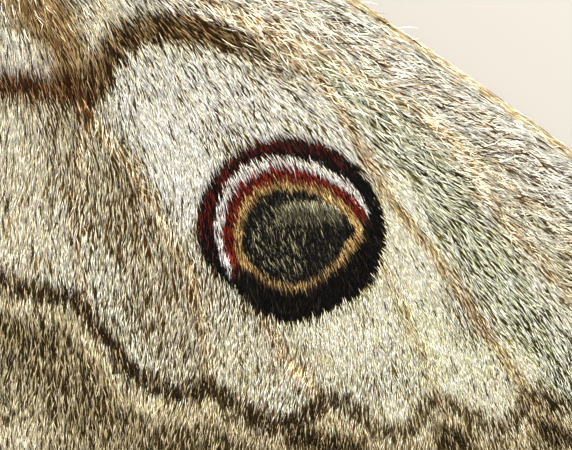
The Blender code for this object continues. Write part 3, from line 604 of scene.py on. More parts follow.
scale_finish = painted_material("wing_scales_finish", 0.55, 0.1, 0.6 * MM, 0.93, 1.05)
skin_finish = painted_material("wing_skin_finish", 0.8, 0.2, 0.2 * MM, 0.8, 1.0)
fur_finish = painted_material("fur_finish", 0.7, 0.25, 1.2 * MM, 0.9, 1.06)
body_finish = painted_material("body_skin_finish", 0.85, 0.15, 0.5 * MM, 0.75, 1.0)
feeler_finish = plain_material("feeler_finish", 0.5, 0.35, (146, 108, 66), 0.3 * MM, 0.7, 1.1)
claw_finish = plain_material("claw_finish", 0.35, 0.5, (70, 42, 26), 0.15 * MM, 0.7, 1.2)
print("finishes:", [m.name for m in bpy.data.materials if m.name.endswith("finish")])

# %% [markdown]
# ## The wing skins
# A wing's membrane is a sheet. It could be an outline filled with triangles, but rows that run from the
# root to the tip shade more evenly and give the colours regular places. So a flat grid is extruded into
# a thin slab, and its points are then drawn out between the four sides of the wing: root, costa, outer
# margin and back. The sheet runs on into the thorax, where the fur hides where it enters.

# %% Draw a grid out into a wing
SIDE_POINTS = 200
# Painted shade: the skin lies in the shade of the scales over it, so its colours are darkened.
WING_SKIN_PAINTED_SHADE = 0.8


def evenly(line, count):
    """Return a number of points spread evenly along a line."""
    steps = np.r_[0.0, np.cumsum(np.linalg.norm(np.diff(line, axis=0), axis=1))]
    places = np.linspace(0.0, steps[-1], count)
    return np.stack([np.interp(places, steps, line[:, k]) for k in (0, 1)], axis=1)


def nearest_index(line, point):
    """Return which point of a line lies nearest to a place."""
    return int(np.argmin(np.hypot(*(line - np.array(point)).T)))


def wing_patch(kind, u, v):
    """Return places on the wing for u from root to tip and v from the costa to the back, both 0 to 1."""
    line = wing_outline(kind)
    tip, rear = (nearest_index(line, WINGS[kind]["edge"][k]) for k in WINGS[kind]["corners"])
    sides = (line[: tip + 1], line[tip: rear + 1], line[rear:], line[[0, -1]])
    costa, margin, back, root = (evenly(side, SIDE_POINTS) for side in sides)
    back = back[::-1]
    at = np.linspace(0.0, 1.0, SIDE_POINTS)

    def on(side, t):
        return np.stack([np.interp(t, at, side[:, k]) for k in (0, 1)], axis=1)

    u1, v1 = u[:, None], v[:, None]
    between_long = on(costa, u) * (1 - v1) + on(back, u) * v1
    between_short = on(root, v) * (1 - u1) + on(margin, v) * u1
    corner = ((1 - u1) * (1 - v1) * costa[0] + u1 * (1 - v1) * costa[-1]
              + (1 - u1) * v1 * back[0] + u1 * v1 * back[-1])
    return between_long + between_short - corner


def vertex_rows(mesh, what="co"):
    """Return the place, or the normal, of each point of a mesh as rows."""
    rows = np.empty(len(mesh.vertices) * 3)
    mesh.vertices.foreach_get(what, rows)
    return rows.reshape(-1, 3)


def paint_points(mesh, colours):
    """Store one linear colour for each point of a mesh."""
    layer = mesh.color_attributes.new("marking", "FLOAT_COLOR", "POINT")
    rgba = np.ones((len(mesh.vertices), 4), np.float32)
    rgba[:, :3] = colours
    layer.data.foreach_set("color", rgba.ravel())


def wing_skin(kind, hand):
    """Make one wing's skin from an extruded grid and colour it with the wing's marks."""
    columns, rows = WINGS[kind]["cells"]
    bpy.ops.object.select_all(action="DESELECT")
    bpy.ops.mesh.primitive_grid_add(x_subdivisions=columns, y_subdivisions=rows, size=2.0)
    skin = bpy.context.object
    skin.name = f"{kind}_skin_{hand}"
    bpy.ops.object.mode_set(mode="EDIT")
    bpy.ops.mesh.select_all(action="SELECT")
    bpy.ops.mesh.extrude_region_move(TRANSFORM_OT_translate={"value": (0.0, 0.0, -1.0)})
    bpy.ops.mesh.select_all(action="SELECT")
    bpy.ops.mesh.normals_make_consistent(inside=False)
    bpy.ops.object.mode_set(mode="OBJECT")
    across, along, level = vertex_rows(skin.data).T
    x, y = wing_patch(kind, 0.5 + 0.5 * across, 0.5 + 0.5 * along).T
    face = np.where(level > -0.5, 1.0, -1.0)
    points = wing_place(kind, SIDES[hand], face, x, y, 0.0)
    skin.data.vertices.foreach_set("co", points.ravel())
    if SIDES[hand] > 0:
        skin.data.flip_normals()
    # The skin takes the marks' mean colours, darkened by painted shade for the scales above it.
    paint_points(skin.data, MARKS[kind](x, y).blended() * WING_SKIN_PAINTED_SHADE)
    skin.data.materials.append(skin_finish)
    skin.data.shade_smooth()
    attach(skin, "root")
    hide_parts(f"{kind}_{hand}")
    return skin


wing_skins = [wing_skin(kind, hand) for kind in WINGS for hand in SIDES]
print("wing skins:", [(skin.name, len(skin.data.polygons)) for skin in wing_skins])

# %% [markdown]
# ## The scales of the wings
# On the real wing each scale is a flat hair, about five hundredths of a millimetre wide and half a
# millimetre long or more, and they overlap like thatch. Particle hair would be quick, but a particle is
# lost on export, so each scale is a closed sliver of four points: root, tip and two sides below the
# ridge from root to tip. Many slivers are joined in one mesh from arrays. Their lie follows the veins:
# along the costa at the front, turning towards the back edge behind. Light that has passed between
# scales grows warmer, so where a scale is shaded its blue is lowered more than its red.

# %% Build coats from arrays
SLIVER_FACES = [(0, 1, 3), (0, 3, 2), (0, 2, 1), (1, 2, 3)]
STRAND_FACES = [(0, 2, 1)]
for k in range(3):
    n = (k + 1) % 3
    STRAND_FACES += [(k, n, 3 + n), (k, 3 + n, 3 + k), (3 + k, 3 + n, 6)]
MOST_TRIANGLES = 196000
WARM_SHADE = np.array((0.86, 0.95, 1.4))
UNWRAP_PATCH = 0.0015
# For each kind of tuft: its faces, its finish and one factor for each point from root to tip. The factor is
# painted shade at the root, where the tufts above would shade it, and painted light at the tip.
TUFTS = {
    "scale": (SLIVER_FACES, scale_finish, (0.42, 0.92, 0.92, 1.14)),
    "fringe": (SLIVER_FACES, scale_finish, (0.7, 0.95, 0.95, 1.05)),
    "strand": (STRAND_FACES, fur_finish, (0.7, 0.7, 0.7, 0.95, 0.95, 0.95, 1.1)),
}


def coat_mesh(name, tuft, points, colours, places):
    """Join many tufts of a few points each into one object, with their colours and unwrap. Painted shade
    darkens each tuft towards its root and painted light lightens its tip.
    """
    faces, material, painted_shade_and_light = TUFTS[tuft]
    count, size = points.shape[:2]
    a, b, c, d = (points[:, k] for k in (*faces[-1], 0))
    volume = np.einsum("ij,ij->i", np.cross(b - a, c - a), a - d).mean()
    pattern = np.array(faces if volume > 0 else [face[::-1] for face in faces])
    index = (pattern[None] + np.arange(count)[:, None, None] * size).ravel()
    mesh = bpy.data.meshes.new(name)
    mesh.vertices.add(count * size)
    mesh.vertices.foreach_set("co", points.astype(np.float32).ravel())
    mesh.loops.add(len(index))
    mesh.loops.foreach_set("vertex_index", index.astype(np.int32))
    mesh.polygons.add(len(index) // 3)
    mesh.polygons.foreach_set("loop_start", np.arange(0, len(index), 3, dtype=np.int32))
    mesh.update(calc_edges=True)
    painted_shade_and_light_rows = np.array(painted_shade_and_light)[None, :, None] ** WARM_SHADE
    paint_points(mesh, (np.clip(colours, 0.0, 1.0)[:, None, :] * painted_shade_and_light_rows).reshape(-1, 3))
    angles = np.linspace(0.0, math.tau, size, endpoint=False)
    patch = UNWRAP_PATCH * np.stack([np.cos(angles), np.sin(angles)], axis=1)
    corners = (places[:, None, :] + patch[None]).reshape(-1, 2)[index]
    unwrap = mesh.uv_layers.new(name="OFBake")
    unwrap.data.foreach_set("uv", np.clip(corners, 0.0, 1.0).astype(np.float32).ravel())
    mesh.materials.append(material)
    piece = bpy.data.objects.new(name, mesh)
    bpy.context.scene.collection.objects.link(piece)
    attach(piece, "root")


def coat_pieces(name, tuft, points, colours, places):
    """Make a coat in as many pieces as the limit on triangles asks for, and return its triangles."""
    faces = len(TUFTS[tuft][0])
    parts = max(1, math.ceil(len(points) / (MOST_TRIANGLES // faces)))
    for k in range(parts):
        part = slice(k, None, parts)
        coat_mesh(f"{name}_{k + 1}", tuft, points[part], colours[part], places[part])
    print(f"{name}: {len(points)} tufts, {len(points) * faces} triangles in {parts} pieces")
    return len(points) * faces


coat_total = 0
print("a sliver has", len(SLIVER_FACES), "faces, a strand", len(STRAND_FACES))

# %% [markdown]
# Roots are spread one to a cell of a fine grid. Picking the dark scales by chance would leave clumps,
# so each root has a number from 0 to 1 that leaps from cell to cell: the roots below any value of it lie
# evenly over the wing. The dark scales lie lowest and show only where the pale ones part, so more of
# them are laid than are to be seen: how many follows from the number of layers at each place.

# %% Where scales grow on a wing and how they lie
ROOT_SPANS = ((-3.0, 38.0), (-4.0, 27.0))
LEAPS = (0.7548777, 0.5698403)
PICTURE_SIZE = (19.9, 15.66)
SPOT_IN_PICTURE = (10.14, 7.99)
SPOT_PATCH = {"forewing": (SPOT_MIDDLE, 3.9), "hindwing": (HINDWING_SPOT, 3.1)}


def is_inside(x, y, outline):
    """Tell which places lie inside a closed outline."""
    hit = np.zeros(x.shape, bool)
    for (ax, ay), (bx, by) in zip(outline, np.roll(outline, -1, axis=0)):
        if ay != by:
            crosses = (ay > y) != (by > y)
            hit ^= crosses & (x < ax + (bx - ax) * (y - ay) / (by - ay))
    return hit


def scatter(kind, density, seed):
    """Spread roots over a wing, and return them with their leaping order and the random draw."""
    draw = np.random.default_rng(seed)
    step = 1.0 / math.sqrt(density)
    x, y = np.meshgrid(*(np.arange(low, high, step) for low, high in ROOT_SPANS), indexing="ij")
    i, j = np.indices(x.shape)
    order = ((i * LEAPS[0] + j * LEAPS[1] + draw.uniform(-0.12, 0.12, x.shape)) % 1.0).ravel()
    x = (x + draw.uniform(-0.45, 0.45, x.shape) * step).ravel()
    y = (y + draw.uniform(-0.45, 0.45, y.shape) * step).ravel()
    keep = is_inside(x, y, wing_outline(kind))
    return x[keep], y[keep], order[keep], draw


def in_picture(x, y, border):
    """Tell which places on the forewing lie in the pictured part, with a border in millimetres."""
    inside = np.full(x.shape, True)
    for place, middle, size in zip(spot_axes(x, y), SPOT_IN_PICTURE, PICTURE_SIZE):
        inside &= (place + middle > -border) & (place + middle < size + border)
    return inside


def near_spot(kind, x, y, border=0.0):
    """Tell which places lie in the patch of finer scales round their wing's eye spot."""
    middle, radius = SPOT_PATCH[kind]
    return np.hypot(x - middle[0], y - middle[1]) < radius - border


def lie_angle(kind, x, y, draw):
    """Return the way scales point, in degrees from the costa's direction towards the back."""
    if kind == "forewing":
        angle = -7.0 + 5.75 * y - 0.575 * (x - 15.3) - 10.0 * ramp(4.6 - y, 0.0, 1.4)
        angle = np.clip(angle, -20.0, 58.0)
    else:
        angle = np.clip(18.0 + 4.2 * (y - 0.35 * x), -12.0, 88.0)
    swirl = 16.0 * (mottle(x, y, 1.3, 31) - 0.5) + 10.0 * (mottle(x, y, 0.5, 32) - 0.5)
    angle = angle + swirl + draw.normal(0.0, 1.0, x.shape) * (10.0 + 7.0 * ramp(3.8 - y, 0.0, 1.0))
    at_costa = ramp(1.1 - edge_gap(kind, x, y), 0.0, 0.9) * (y < 3.0)
    return angle * (1.0 - at_costa) + at_costa * np.clip(0.9 * (x - 27.0), 0.0, 40.0) * (kind == "forewing")


def scale_build(kind, x, y):
    """Return how long and how wide the scales are, beside the usual, at many places.

    They are long and fine at the wing's base and costa, short and fine on the eye spot and behind it.
    """
    if kind == "hindwing":
        long = 0.9 + 0.6 * ramp(10.0 - np.hypot(x, y), 0.0, 6.0)
        return long, long ** -0.6
    hairy = np.maximum(ramp(9.6 - x, -1.0, 2.0), ramp(3.8 - y, 0.0, 1.6) * ramp(30.0 - x, 0.0, 6.0))
    from_spot = np.hypot(*spot_axes(x, y))
    short = np.maximum(ramp(3.8 - from_spot, 0.0, 0.5), ramp(x - 16.5, 0.0, 3.0) * ramp(y - 5.5, 0.0, 1.5))
    pupil = ramp(2.0 - from_spot, 0.0, 0.3)
    long = (1.0 + 0.4 * hairy) * (1.0 - 0.25 * short) * (1.0 - 0.3 * pupil)
    return long, (1.0 - 0.2 * hairy - 0.18 * short) * (1.0 - 0.3 * pupil)


def unwrap_place(x, y, face):
    """Return where a place on a wing lies on the skin's unwrap, upper face on the left half."""
    u = 0.02 + (x + 4.0) / 90.0 + (0.5 if face < 0 else 0.0)
    return np.stack([u, 0.02 + (y + 4.0) / 32.0], axis=1)


build = scale_build("forewing", *np.array([[18.1], [9.6]]))
print("beside the eye spot a scale has", np.round(build, 2).ravel(), "of the usual length and width")


# %% Lay the scales
LAYERS = 3.6
FLECK_COLOUR = paint(66, 50, 26)


def sliver_points(x, y, angle, long, wide, widest=0.5):
    """Return x and y of the root, both sides and the tip of each flat sliver."""
    c, s = np.cos(angle), np.sin(angle)
    mx, my = x + widest * long * c, y + widest * long * s
    px = np.stack([x, mx - wide * s, mx + wide * s, x + long * c], axis=1)
    return px, np.stack([y, my + wide * c, my - wide * c, y + long * s], axis=1)


def lay_scales(name, kind, hand, face, density, seed, wanted, length, width, blend=0.0, painted_self_shade=1.0):
    """Lay flat scales on one face of a wing where wanted, and return their triangles.

    None may reach out over the costa. Coarse scales stand for several fine ones, so they blend the
    pale and the dark colour, and painted shade darkens them for the shade that fine scales cast on each
    other.
    """
    x, y, order, draw = scatter(kind, density, seed)
    keep = wanted(kind, x, y)
    x, y, order = x[keep], y[keep], order[keep]
    angle = np.radians(lie_angle(kind, x, y, draw))
    longer, wider = scale_build(kind, x, y)
    long = length * draw.uniform(0.7, 1.25, len(x)) * longer
    held = is_inside(x + long * np.cos(angle), y + long * np.sin(angle), wing_outline(kind))
    held = (y > 3.5) | (held & (edge_gap(kind, x, y) > 0.7 * width))
    x, y, order, angle, long, wider = (values[held] for values in (x, y, order, angle, long, wider))
    count = len(x)
    wide = 0.5 * width * draw.uniform(0.7, 1.2, count) * wider

    shows = long * draw.uniform(0.3, 0.75, count)
    seen_x = x + shows * np.cos(angle) + draw.normal(0.0, 0.03, count)
    seen_y = y + shows * np.sin(angle) + draw.normal(0.0, 0.03, count)
    marks = MARKS[kind](seen_x, seen_y)
    over = draw.random(count) < marks.flecks
    below = ~over & (order < 1.0 + np.log(np.clip(marks.share, 0.02, 1.0)) / LAYERS)

    base = draw.uniform(0.0, 0.035, count) + np.where(over, 0.06, np.where(below, 0.0, 0.035))
    rise = draw.uniform(0.012, 0.055, count)
    wide = wide * np.where(over, 1.3, np.where(below, 1.1, 0.88))
    widest = draw.uniform(0.3, 0.5, count)
    sides = base + widest * rise - 0.35 * wide
    heights = np.stack([base, sides, sides, base + rise], axis=1)
    px, py = sliver_points(x, y, angle, long, wide, widest)
    points = wing_place(kind, SIDES[hand], face, px, py, heights)

    colours = np.where(over[:, None], np.minimum(0.4 * marks.dark, FLECK_COLOUR), marks.drawn(below))
    colours = colours * (1.0 - blend) + marks.blended() * blend
    # Each scale is lighter or darker at random: partly its own tone, partly painted light and shade for how
    # each scale meets the light. Darker ones are warmed as shaded scales are.
    spread = np.where(below, 0.5, 0.34)
    colours = colours * (1.0 + spread * draw.uniform(-1.0, 1.0, count))[:, None] ** WARM_SHADE
    # Painted shade: coarse coats are darkened for the shade that many fine scales would cast on each other.
    colours = colours * (1.0 + draw.normal(0.0, 0.02, (count, 3))) * painted_self_shade
    return coat_pieces(name, "scale", points, colours, unwrap_place(x, y, face))


near_density, near_width = ((320.0, 0.047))
coat_total += lay_scales("forewing_coat_near", "forewing", "right", 1, near_density, 101,
                         lambda kind, x, y: in_picture(x, y, 0.5), 0.61, near_width)
print("scales in the pictured part:", coat_total // len(SLIVER_FACES))

# %% Coats of the rest of the wings
# The last number of each coarse coat is its painted shade.
coat_total += lay_scales("forewing_coat_right", "forewing", "right", 1, 80.0, 102,
                         lambda kind, x, y: ~in_picture(x, y, 0.35), 0.66, 0.14, 0.4, 0.8)
for kind, hand, density, length, width in (("forewing", "left", 54.0, 0.72, 0.17),
                                           ("hindwing", "left", 42.0, 0.78, 0.2),
                                           ("hindwing", "right", 42.0, 0.78, 0.2)):
    coat_total += lay_scales(f"{kind}_coat_{hand}", kind, hand, 1, density, 103,
                             lambda kind, x, y: ~near_spot(kind, x, y, 0.3), length, width, 0.4, 0.8)
    coat_total += lay_scales(f"{kind}_spot_coat_{hand}", kind, hand, 1, 150.0, 104, near_spot,
                             0.55, 0.09, 0.2, 0.86)
for kind in WINGS:
    for hand in SIDES:
        coat_total += lay_scales(f"{kind}_undercoat_{hand}", kind, hand, -1, 13.0, 105,
                                 lambda kind, x, y: np.full(x.shape, True), 0.95, 0.34, 0.5, 0.8)
print("triangles of coat so far:", coat_total)

# %% [markdown]
# ## The body under its fur
# Head, thorax, abdomen and legs are one skin, so that no seam shows where they meet. Each is begun as a
# ball or a tube: a ball's rings are drawn out to the stations along the back, and a leg is a curve with
# a round section. They are joined and remeshed into one closed surface, which a few rounds of smoothing
# relax. A sculpted lump would do too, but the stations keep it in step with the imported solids.

# %% Draw balls out into head, thorax and abdomen
def station_at(stations, y):
    """Return half width, half height and middle height at a place along the body."""
    rows = np.array(stations)
    return [float(np.interp(y, rows[:, 0], rows[:, k])) for k in (1, 2, 3)]


def section_point(stations, y, angle, scale):
    """Return a point of the rounded cross-section, with angle 0 at +X and 90 degrees on top."""
    half_width, half_height, middle = station_at(stations, y)
    c, s = math.cos(angle), math.sin(angle)
    power = 2.0 / SECTION_POWER
    x = math.copysign(abs(c) ** power, c) * half_width * scale
    z = middle + math.copysign(abs(s) ** power, s) * half_height * scale
    return Vector((x, THORAX_Y + y, max(z, 0.05))) * MM


def ring_turn(y):
    """Return how many of the abdomen's rings lie before a place along the body."""
    first, last = ABDOMEN_STATIONS[0][0], ABDOMEN_STATIONS[-1][0]
    return (y - first) / (last - first) * ABDOMEN_RINGS


def ring_bulge(y):
    """Return the abdomen's swelling within each of its rings."""
    return 1.0 - RING_DEPTH * abs(math.cos(math.pi * ring_turn(y))) ** 4


def drawn_out_ball(name, stations, bulge=None):
    """Turn a ball into one part of the body, its poles at the first and the last station."""
    bpy.ops.object.select_all(action="DESELECT")
    bpy.ops.mesh.primitive_uv_sphere_add(segments=56, ring_count=64, radius=1.0)
    ball = bpy.context.object
    ball.name = name
    bpy.ops.object.mode_set(mode="EDIT")
    bpy.ops.mesh.select_all(action="SELECT")
    bpy.ops.transform.rotate(value=0.5 * math.pi, orient_axis="X", center_override=(0.0, 0.0, 0.0))
    bpy.ops.object.mode_set(mode="OBJECT")
    smooth = smooth_line(stations, 0.5)
    first, last = stations[0][0], stations[-1][0]
    for vert in ball.data.vertices:
        x, y, z = vert.co
        t = 0.5 + math.asin(max(-1.0, min(1.0, y))) / math.pi
        cap = math.sqrt(max(0.0, 1.0 - max(0.0, (abs(2.0 * t - 1.0) - 0.88) / 0.12) ** 2))
        place = first + (last - first) * t
        scale = cap * (bulge(place) if bulge else 1.0)
        vert.co = section_point(smooth, place, math.atan2(z, x), scale)
    return ball


body_parts = [drawn_out_ball("thorax_form", THORAX_STATIONS), drawn_out_ball("head_form", HEAD_STATIONS),
              drawn_out_ball("abdomen_form", ABDOMEN_STATIONS, ring_bulge)]
print("three forms:", [part.name for part in body_parts])

# %% Run tubes along the legs and palps
def select_only(parts):
    """Select some objects alone, the first of them active."""
    bpy.ops.object.select_all(action="DESELECT")
    for part in parts:
        part.select_set(True)
    bpy.context.view_layer.objects.active = parts[0]


def joined(parts, name, material):
    """Join meshes into one piece with a name and one material."""
    select_only(parts)
    bpy.ops.object.join()
    piece = bpy.context.object
    piece.name = name
    piece.data.shade_smooth()
    piece.data.materials.clear()
    piece.data.materials.append(material)
    return piece


def tube(name, path, resolution=3):
    """Run a round tube through (x, y, z, radius) rows in millimetres and make it a mesh."""
    curve = bpy.data.curves.new(name, "CURVE")
    curve.dimensions = "3D"
    curve.bevel_depth = 1.0
    curve.bevel_resolution = resolution
    curve.use_fill_caps = True
    spline = curve.splines.new("POLY")
    spline.points.add(len(path) - 1)
    for point, row in zip(spline.points, path):
        point.co = (row[0] * MM, row[1] * MM, row[2] * MM, 1.0)
        point.radius = row[3] * MM
    guide = bpy.data.objects.new(name, curve)
    bpy.context.scene.collection.objects.link(guide)
    select_only([guide])
    bpy.ops.object.convert(target="MESH")
    made = bpy.context.object
    bpy.ops.object.mode_set(mode="EDIT")
    bpy.ops.mesh.select_all(action="SELECT")
    bpy.ops.mesh.remove_doubles(threshold=0.000001)
    bpy.ops.mesh.normals_make_consistent(inside=False)
    bpy.ops.object.mode_set(mode="OBJECT")
    return made


LEG_RADII = (0.62, 0.55, 0.42, 0.24, 0.2)


def leg_line(pair, hand):
    """Return a leg's path: hip, knee, ankle, heel and toe, with its radius."""
    hip, knee, ankle, toe = LEGS[pair]
    heel = [ankle[k] + 0.4 * (toe[k] - ankle[k]) for k in (0, 1)]
    rows = (hip, knee, ankle, (*heel, TARSUS_HEIGHT), (*toe, TARSUS_HEIGHT))
    line = smooth_line([(*row, 10.0 * radius) for row, radius in zip(rows, LEG_RADII)], 0.45)
    line[:, 3] *= 0.1
    line[:, 1] += THORAX_Y
    line[:, 0] *= SIDES[hand]
    return line


leg_lines = {(pair, hand): leg_line(pair, hand) for pair in LEGS for hand in SIDES}
for (pair, hand), line in leg_lines.items():
    body_parts.append(tube(f"leg_{pair}_{hand}_form", line))
PALP = ((0.5, -7.9, 4.9, 0.36), (0.55, -8.6, 4.75, 0.34), (0.65, -9.2, 4.7, 0.16))
for hand, side in SIDES.items():
    body_parts.append(tube(f"palp_{hand}_form", [(side * x, THORAX_Y + y, z, r) for x, y, z, r in PALP]))
print("the front foot reaches", np.round(leg_lines[("front", "left")][-1][:3], 1), "mm")

# %% Join the forms into one skin
VOXEL = 0.2 * MM
body = joined(body_parts, "body_skin", body_finish)
remesh = body.modifiers.new("one_surface", "REMESH")
remesh.mode = "VOXEL"
remesh.voxel_size = VOXEL
relax = body.modifiers.new("relax", "SMOOTH")
relax.factor = 0.5
relax.iterations = 4
for modifier in ("one_surface", "relax"):
    bpy.ops.object.modifier_apply(modifier=modifier)
for vert in body.data.vertices:
    vert.co.z = max(vert.co.z, 0.02 * MM)
body.data.shade_smooth()
print("body skin:", len(body.data.polygons), "faces, box", [round(v * 1000, 1) for v in body.dimensions])

# %% [markdown]
# ## The fur
# The thorax carries dense wool that lies back over the wing roots, the abdomen a shorter coat in rings
# with pale hair at the back of each, the face a short forward tuft, and the legs a close coat down to
# the feet. The real hairs bend and stick together in tufts. So each strand here is a closed
# three-sided sliver with a bend in it, and its tip is drawn towards the tip of the nearest guide.

# %% Sort the skin's points into regions and give each its coat
DENSITIES = np.array([86.0, 43.0, 27.0, 34.0])
leg_points = np.vstack([line[:, :3] for line in leg_lines.values()])
leg_ways = np.vstack([np.gradient(line[:, :3], axis=0) for line in leg_lines.values()])
leg_radii = np.concatenate([line[:, 3] for line in leg_lines.values()])
leg_tree = kdtree.KDTree(len(leg_points))
for k, point in enumerate(leg_points):
    leg_tree.insert(point, k)
leg_tree.balance()


def roots_on(mesh, density_of, seed):
    """Spread roots over a mesh by area and a wanted density, and return places and normals."""
    draw = np.random.default_rng(seed)
    mesh.calc_loop_triangles()
    co, normals = vertex_rows(mesh) / MM, vertex_rows(mesh, "normal")
    corners = np.empty(len(mesh.loop_triangles) * 3, np.int32)
    mesh.loop_triangles.foreach_get("vertices", corners)
    corners = corners.reshape(-1, 3)
    a, b, c = (co[corners[:, k]] for k in range(3))
    area = 0.5 * np.linalg.norm(np.cross(b - a, c - a), axis=1)
    wanted = area * density_of((a + b + c) / 3.0)
    count = np.floor(wanted + draw.random(len(wanted))).astype(int)
    which = np.repeat(np.arange(len(count)), count)
    u, v = draw.random(len(which)), draw.random(len(which))
    over = u + v > 1.0
    u, v = np.where(over, 1 - u, u)[:, None], np.where(over, 1 - v, v)[:, None]
    tri = corners[which]
    places = co[tri[:, 0]] * (1 - u - v) + co[tri[:, 1]] * u + co[tri[:, 2]] * v
    out = normals[tri[:, 0]] * (1 - u - v) + normals[tri[:, 1]] * u + normals[tri[:, 2]] * v
    return places, out / np.linalg.norm(out, axis=1, keepdims=True), draw


def region_of(places):
    """Return 0 for head, 1 for thorax, 2 for abdomen and 3 for legs, and the nearest leg point."""
    along = places[:, 1] - THORAX_Y
    found = [leg_tree.find(place) for place in places]
    gap, near = np.array([hit[2] for hit in found]), np.array([hit[1] for hit in found])
    on_leg = (gap < 1.5 * leg_radii[near] + 0.12) & (abs(places[:, 0]) > 3.4)
    region = np.where(along < -5.2, 0, np.where(along < 4.9, 1, 2))
    return np.where(on_leg, 3, region), near


def eye_middle(hand):
    """Return the middle of an eye, in millimetres."""
    return np.array([SIDES[hand] * EYE_PLACE[0], THORAX_Y + EYE_PLACE[1], EYE_PLACE[2]])


def eye_distance(places):
    """Return how far places lie from the middle of the nearer eye."""
    return np.min([np.linalg.norm(places - eye_middle(hand), axis=1) for hand in SIDES], axis=0)


def fur_density(places):
    """Return strands for each square millimetre: none where the eyes sit or the body rests."""
    bare = (eye_distance(places) < 1.12 * EYE_RADIUS) | (places[:, 2] < 0.12)
    return np.where(bare, 0.0, DENSITIES[region_of(places)[0]])


roots, normals, draw = roots_on(body.data, fur_density, 7)
region, near = region_of(roots)
print("strands on head, thorax, abdomen and legs:", np.bincount(region).tolist())

# %% Comb the fur
LENGTHS = np.array([0.95, 2.5, 1.9, 0.75])
WIDTHS = np.array([0.04, 0.075, 0.078, 0.055])
LIFTS = np.array([42.0, 40.0, 26.0, 24.0])


def unit(vectors):
    """Return vectors at length one."""
    return vectors / np.maximum(np.linalg.norm(vectors, axis=1, keepdims=True), 1e-9)


def comb_way(places, region, near):
    """Return the direction in which the coat lies, before it is laid on the surface."""
    way = np.tile([0.0, 1.0, 0.0], (len(places), 1))
    way[:, 0] += 0.1 * places[:, 0]
    way[:, 2] -= 0.12
    face = ramp(-(places[:, 1] - THORAX_Y), 7.0, 8.0)[:, None]
    head_way = np.array([0.0, 0.7, 0.5]) * (1 - face) + np.array([0.0, -1.0, -0.25]) * face
    way = np.where((region == 0)[:, None], head_way, way)
    along = places[:, 1] - THORAX_Y
    collar = ((region == 1) * ramp(-along, 2.6, 4.8))[:, None]
    sideways = np.tile([0.5, -0.1, 0.35], (len(places), 1))
    sideways[:, 0] *= np.sign(places[:, 0])
    way = way * (1 - 0.6 * collar) + sideways * 0.6 * collar
    return np.where((region == 3)[:, None], unit(leg_ways[near]), way)


flat = comb_way(roots, region, near) + draw.normal(0.0, 0.16, roots.shape)
flat = unit(flat - normals * np.einsum("ij,ij->i", flat, normals)[:, None])
feet = ramp(1.1 - roots[:, 2], 0.0, 0.8) * (region == 3)
length = LENGTHS[region] * draw.uniform(0.6, 1.2, len(roots)) * (1.0 - 0.55 * feet)
length = length * np.where(region == 0, ramp(eye_distance(roots), 0.9, 2.2) * 0.65 + 0.35, 1.0)
low = ramp(2.5 - roots[:, 2], 0.0, 2.0) * (region != 3)
length = length * (1.0 - 0.5 * low)
lift = np.radians(LIFTS[region] + draw.normal(0.0, 8.0, len(roots))) * (1.0 - 0.6 * low) * (1.0 - 0.5 * feet)
steep, lying = np.clip(lift * 1.35, 0.05, 1.3)[:, None], (lift * 0.25)[:, None]
first_half = flat * np.cos(steep) + normals * np.sin(steep)
second_half = flat * np.cos(lying) + normals * np.sin(lying)
mids = roots + first_half * 0.45 * length[:, None]
tips = mids + second_half * 0.62 * length[:, None]
print("mean lift of the fur:", round(float(np.degrees(lift).mean()), 1), "degrees")

# %% Draw the tips together into tufts
GUIDES_SHARE = {0: 9, 1: 14, 2: 10, 3: 6}
CLUMP = np.array([0.35, 0.5, 0.45, 0.3])
for number, every in GUIDES_SHARE.items():
    own = np.nonzero(region == number)[0]
    guides = own[::every]
    tree = kdtree.KDTree(len(guides))
    for k in guides:
        tree.insert(roots[k], int(k))
    tree.balance()
    nearest = np.array([tree.find(roots[k])[1] for k in own])
    pull = (CLUMP[number] * draw.uniform(0.6, 1.2, len(own)))[:, None]
    reach = unit(tips[nearest] - roots[nearest]) * np.linalg.norm(tips[own] - roots[own], axis=1)[:, None]
    tips[own] += (roots[nearest] + reach - tips[own]) * pull
    mids[own] += (roots[nearest] + 0.5 * reach - mids[own]) * pull * 0.35
mids[:, 2] = np.maximum(mids[:, 2], 0.1)
tips[:, 2] = np.maximum(tips[:, 2], 0.06)
print("longest strand:", round(float(np.linalg.norm(tips - roots, axis=1).max()), 2), "mm")

# %% [markdown]
# The coat is grey brown like the wings: a pale collar behind the head, a darker back with fine pale
# tips, an abdomen ringed with pale bands, brown legs and a warm brown face. The same function colours
# the skin below the fur, only darker, with painted shade for the fur over it.

# %% Colour the fur and lay it
# Painted shade: the skin lies in the shade of the fur over it, so its colours are darkened.
BODY_SKIN_PAINTED_SHADE = 0.75


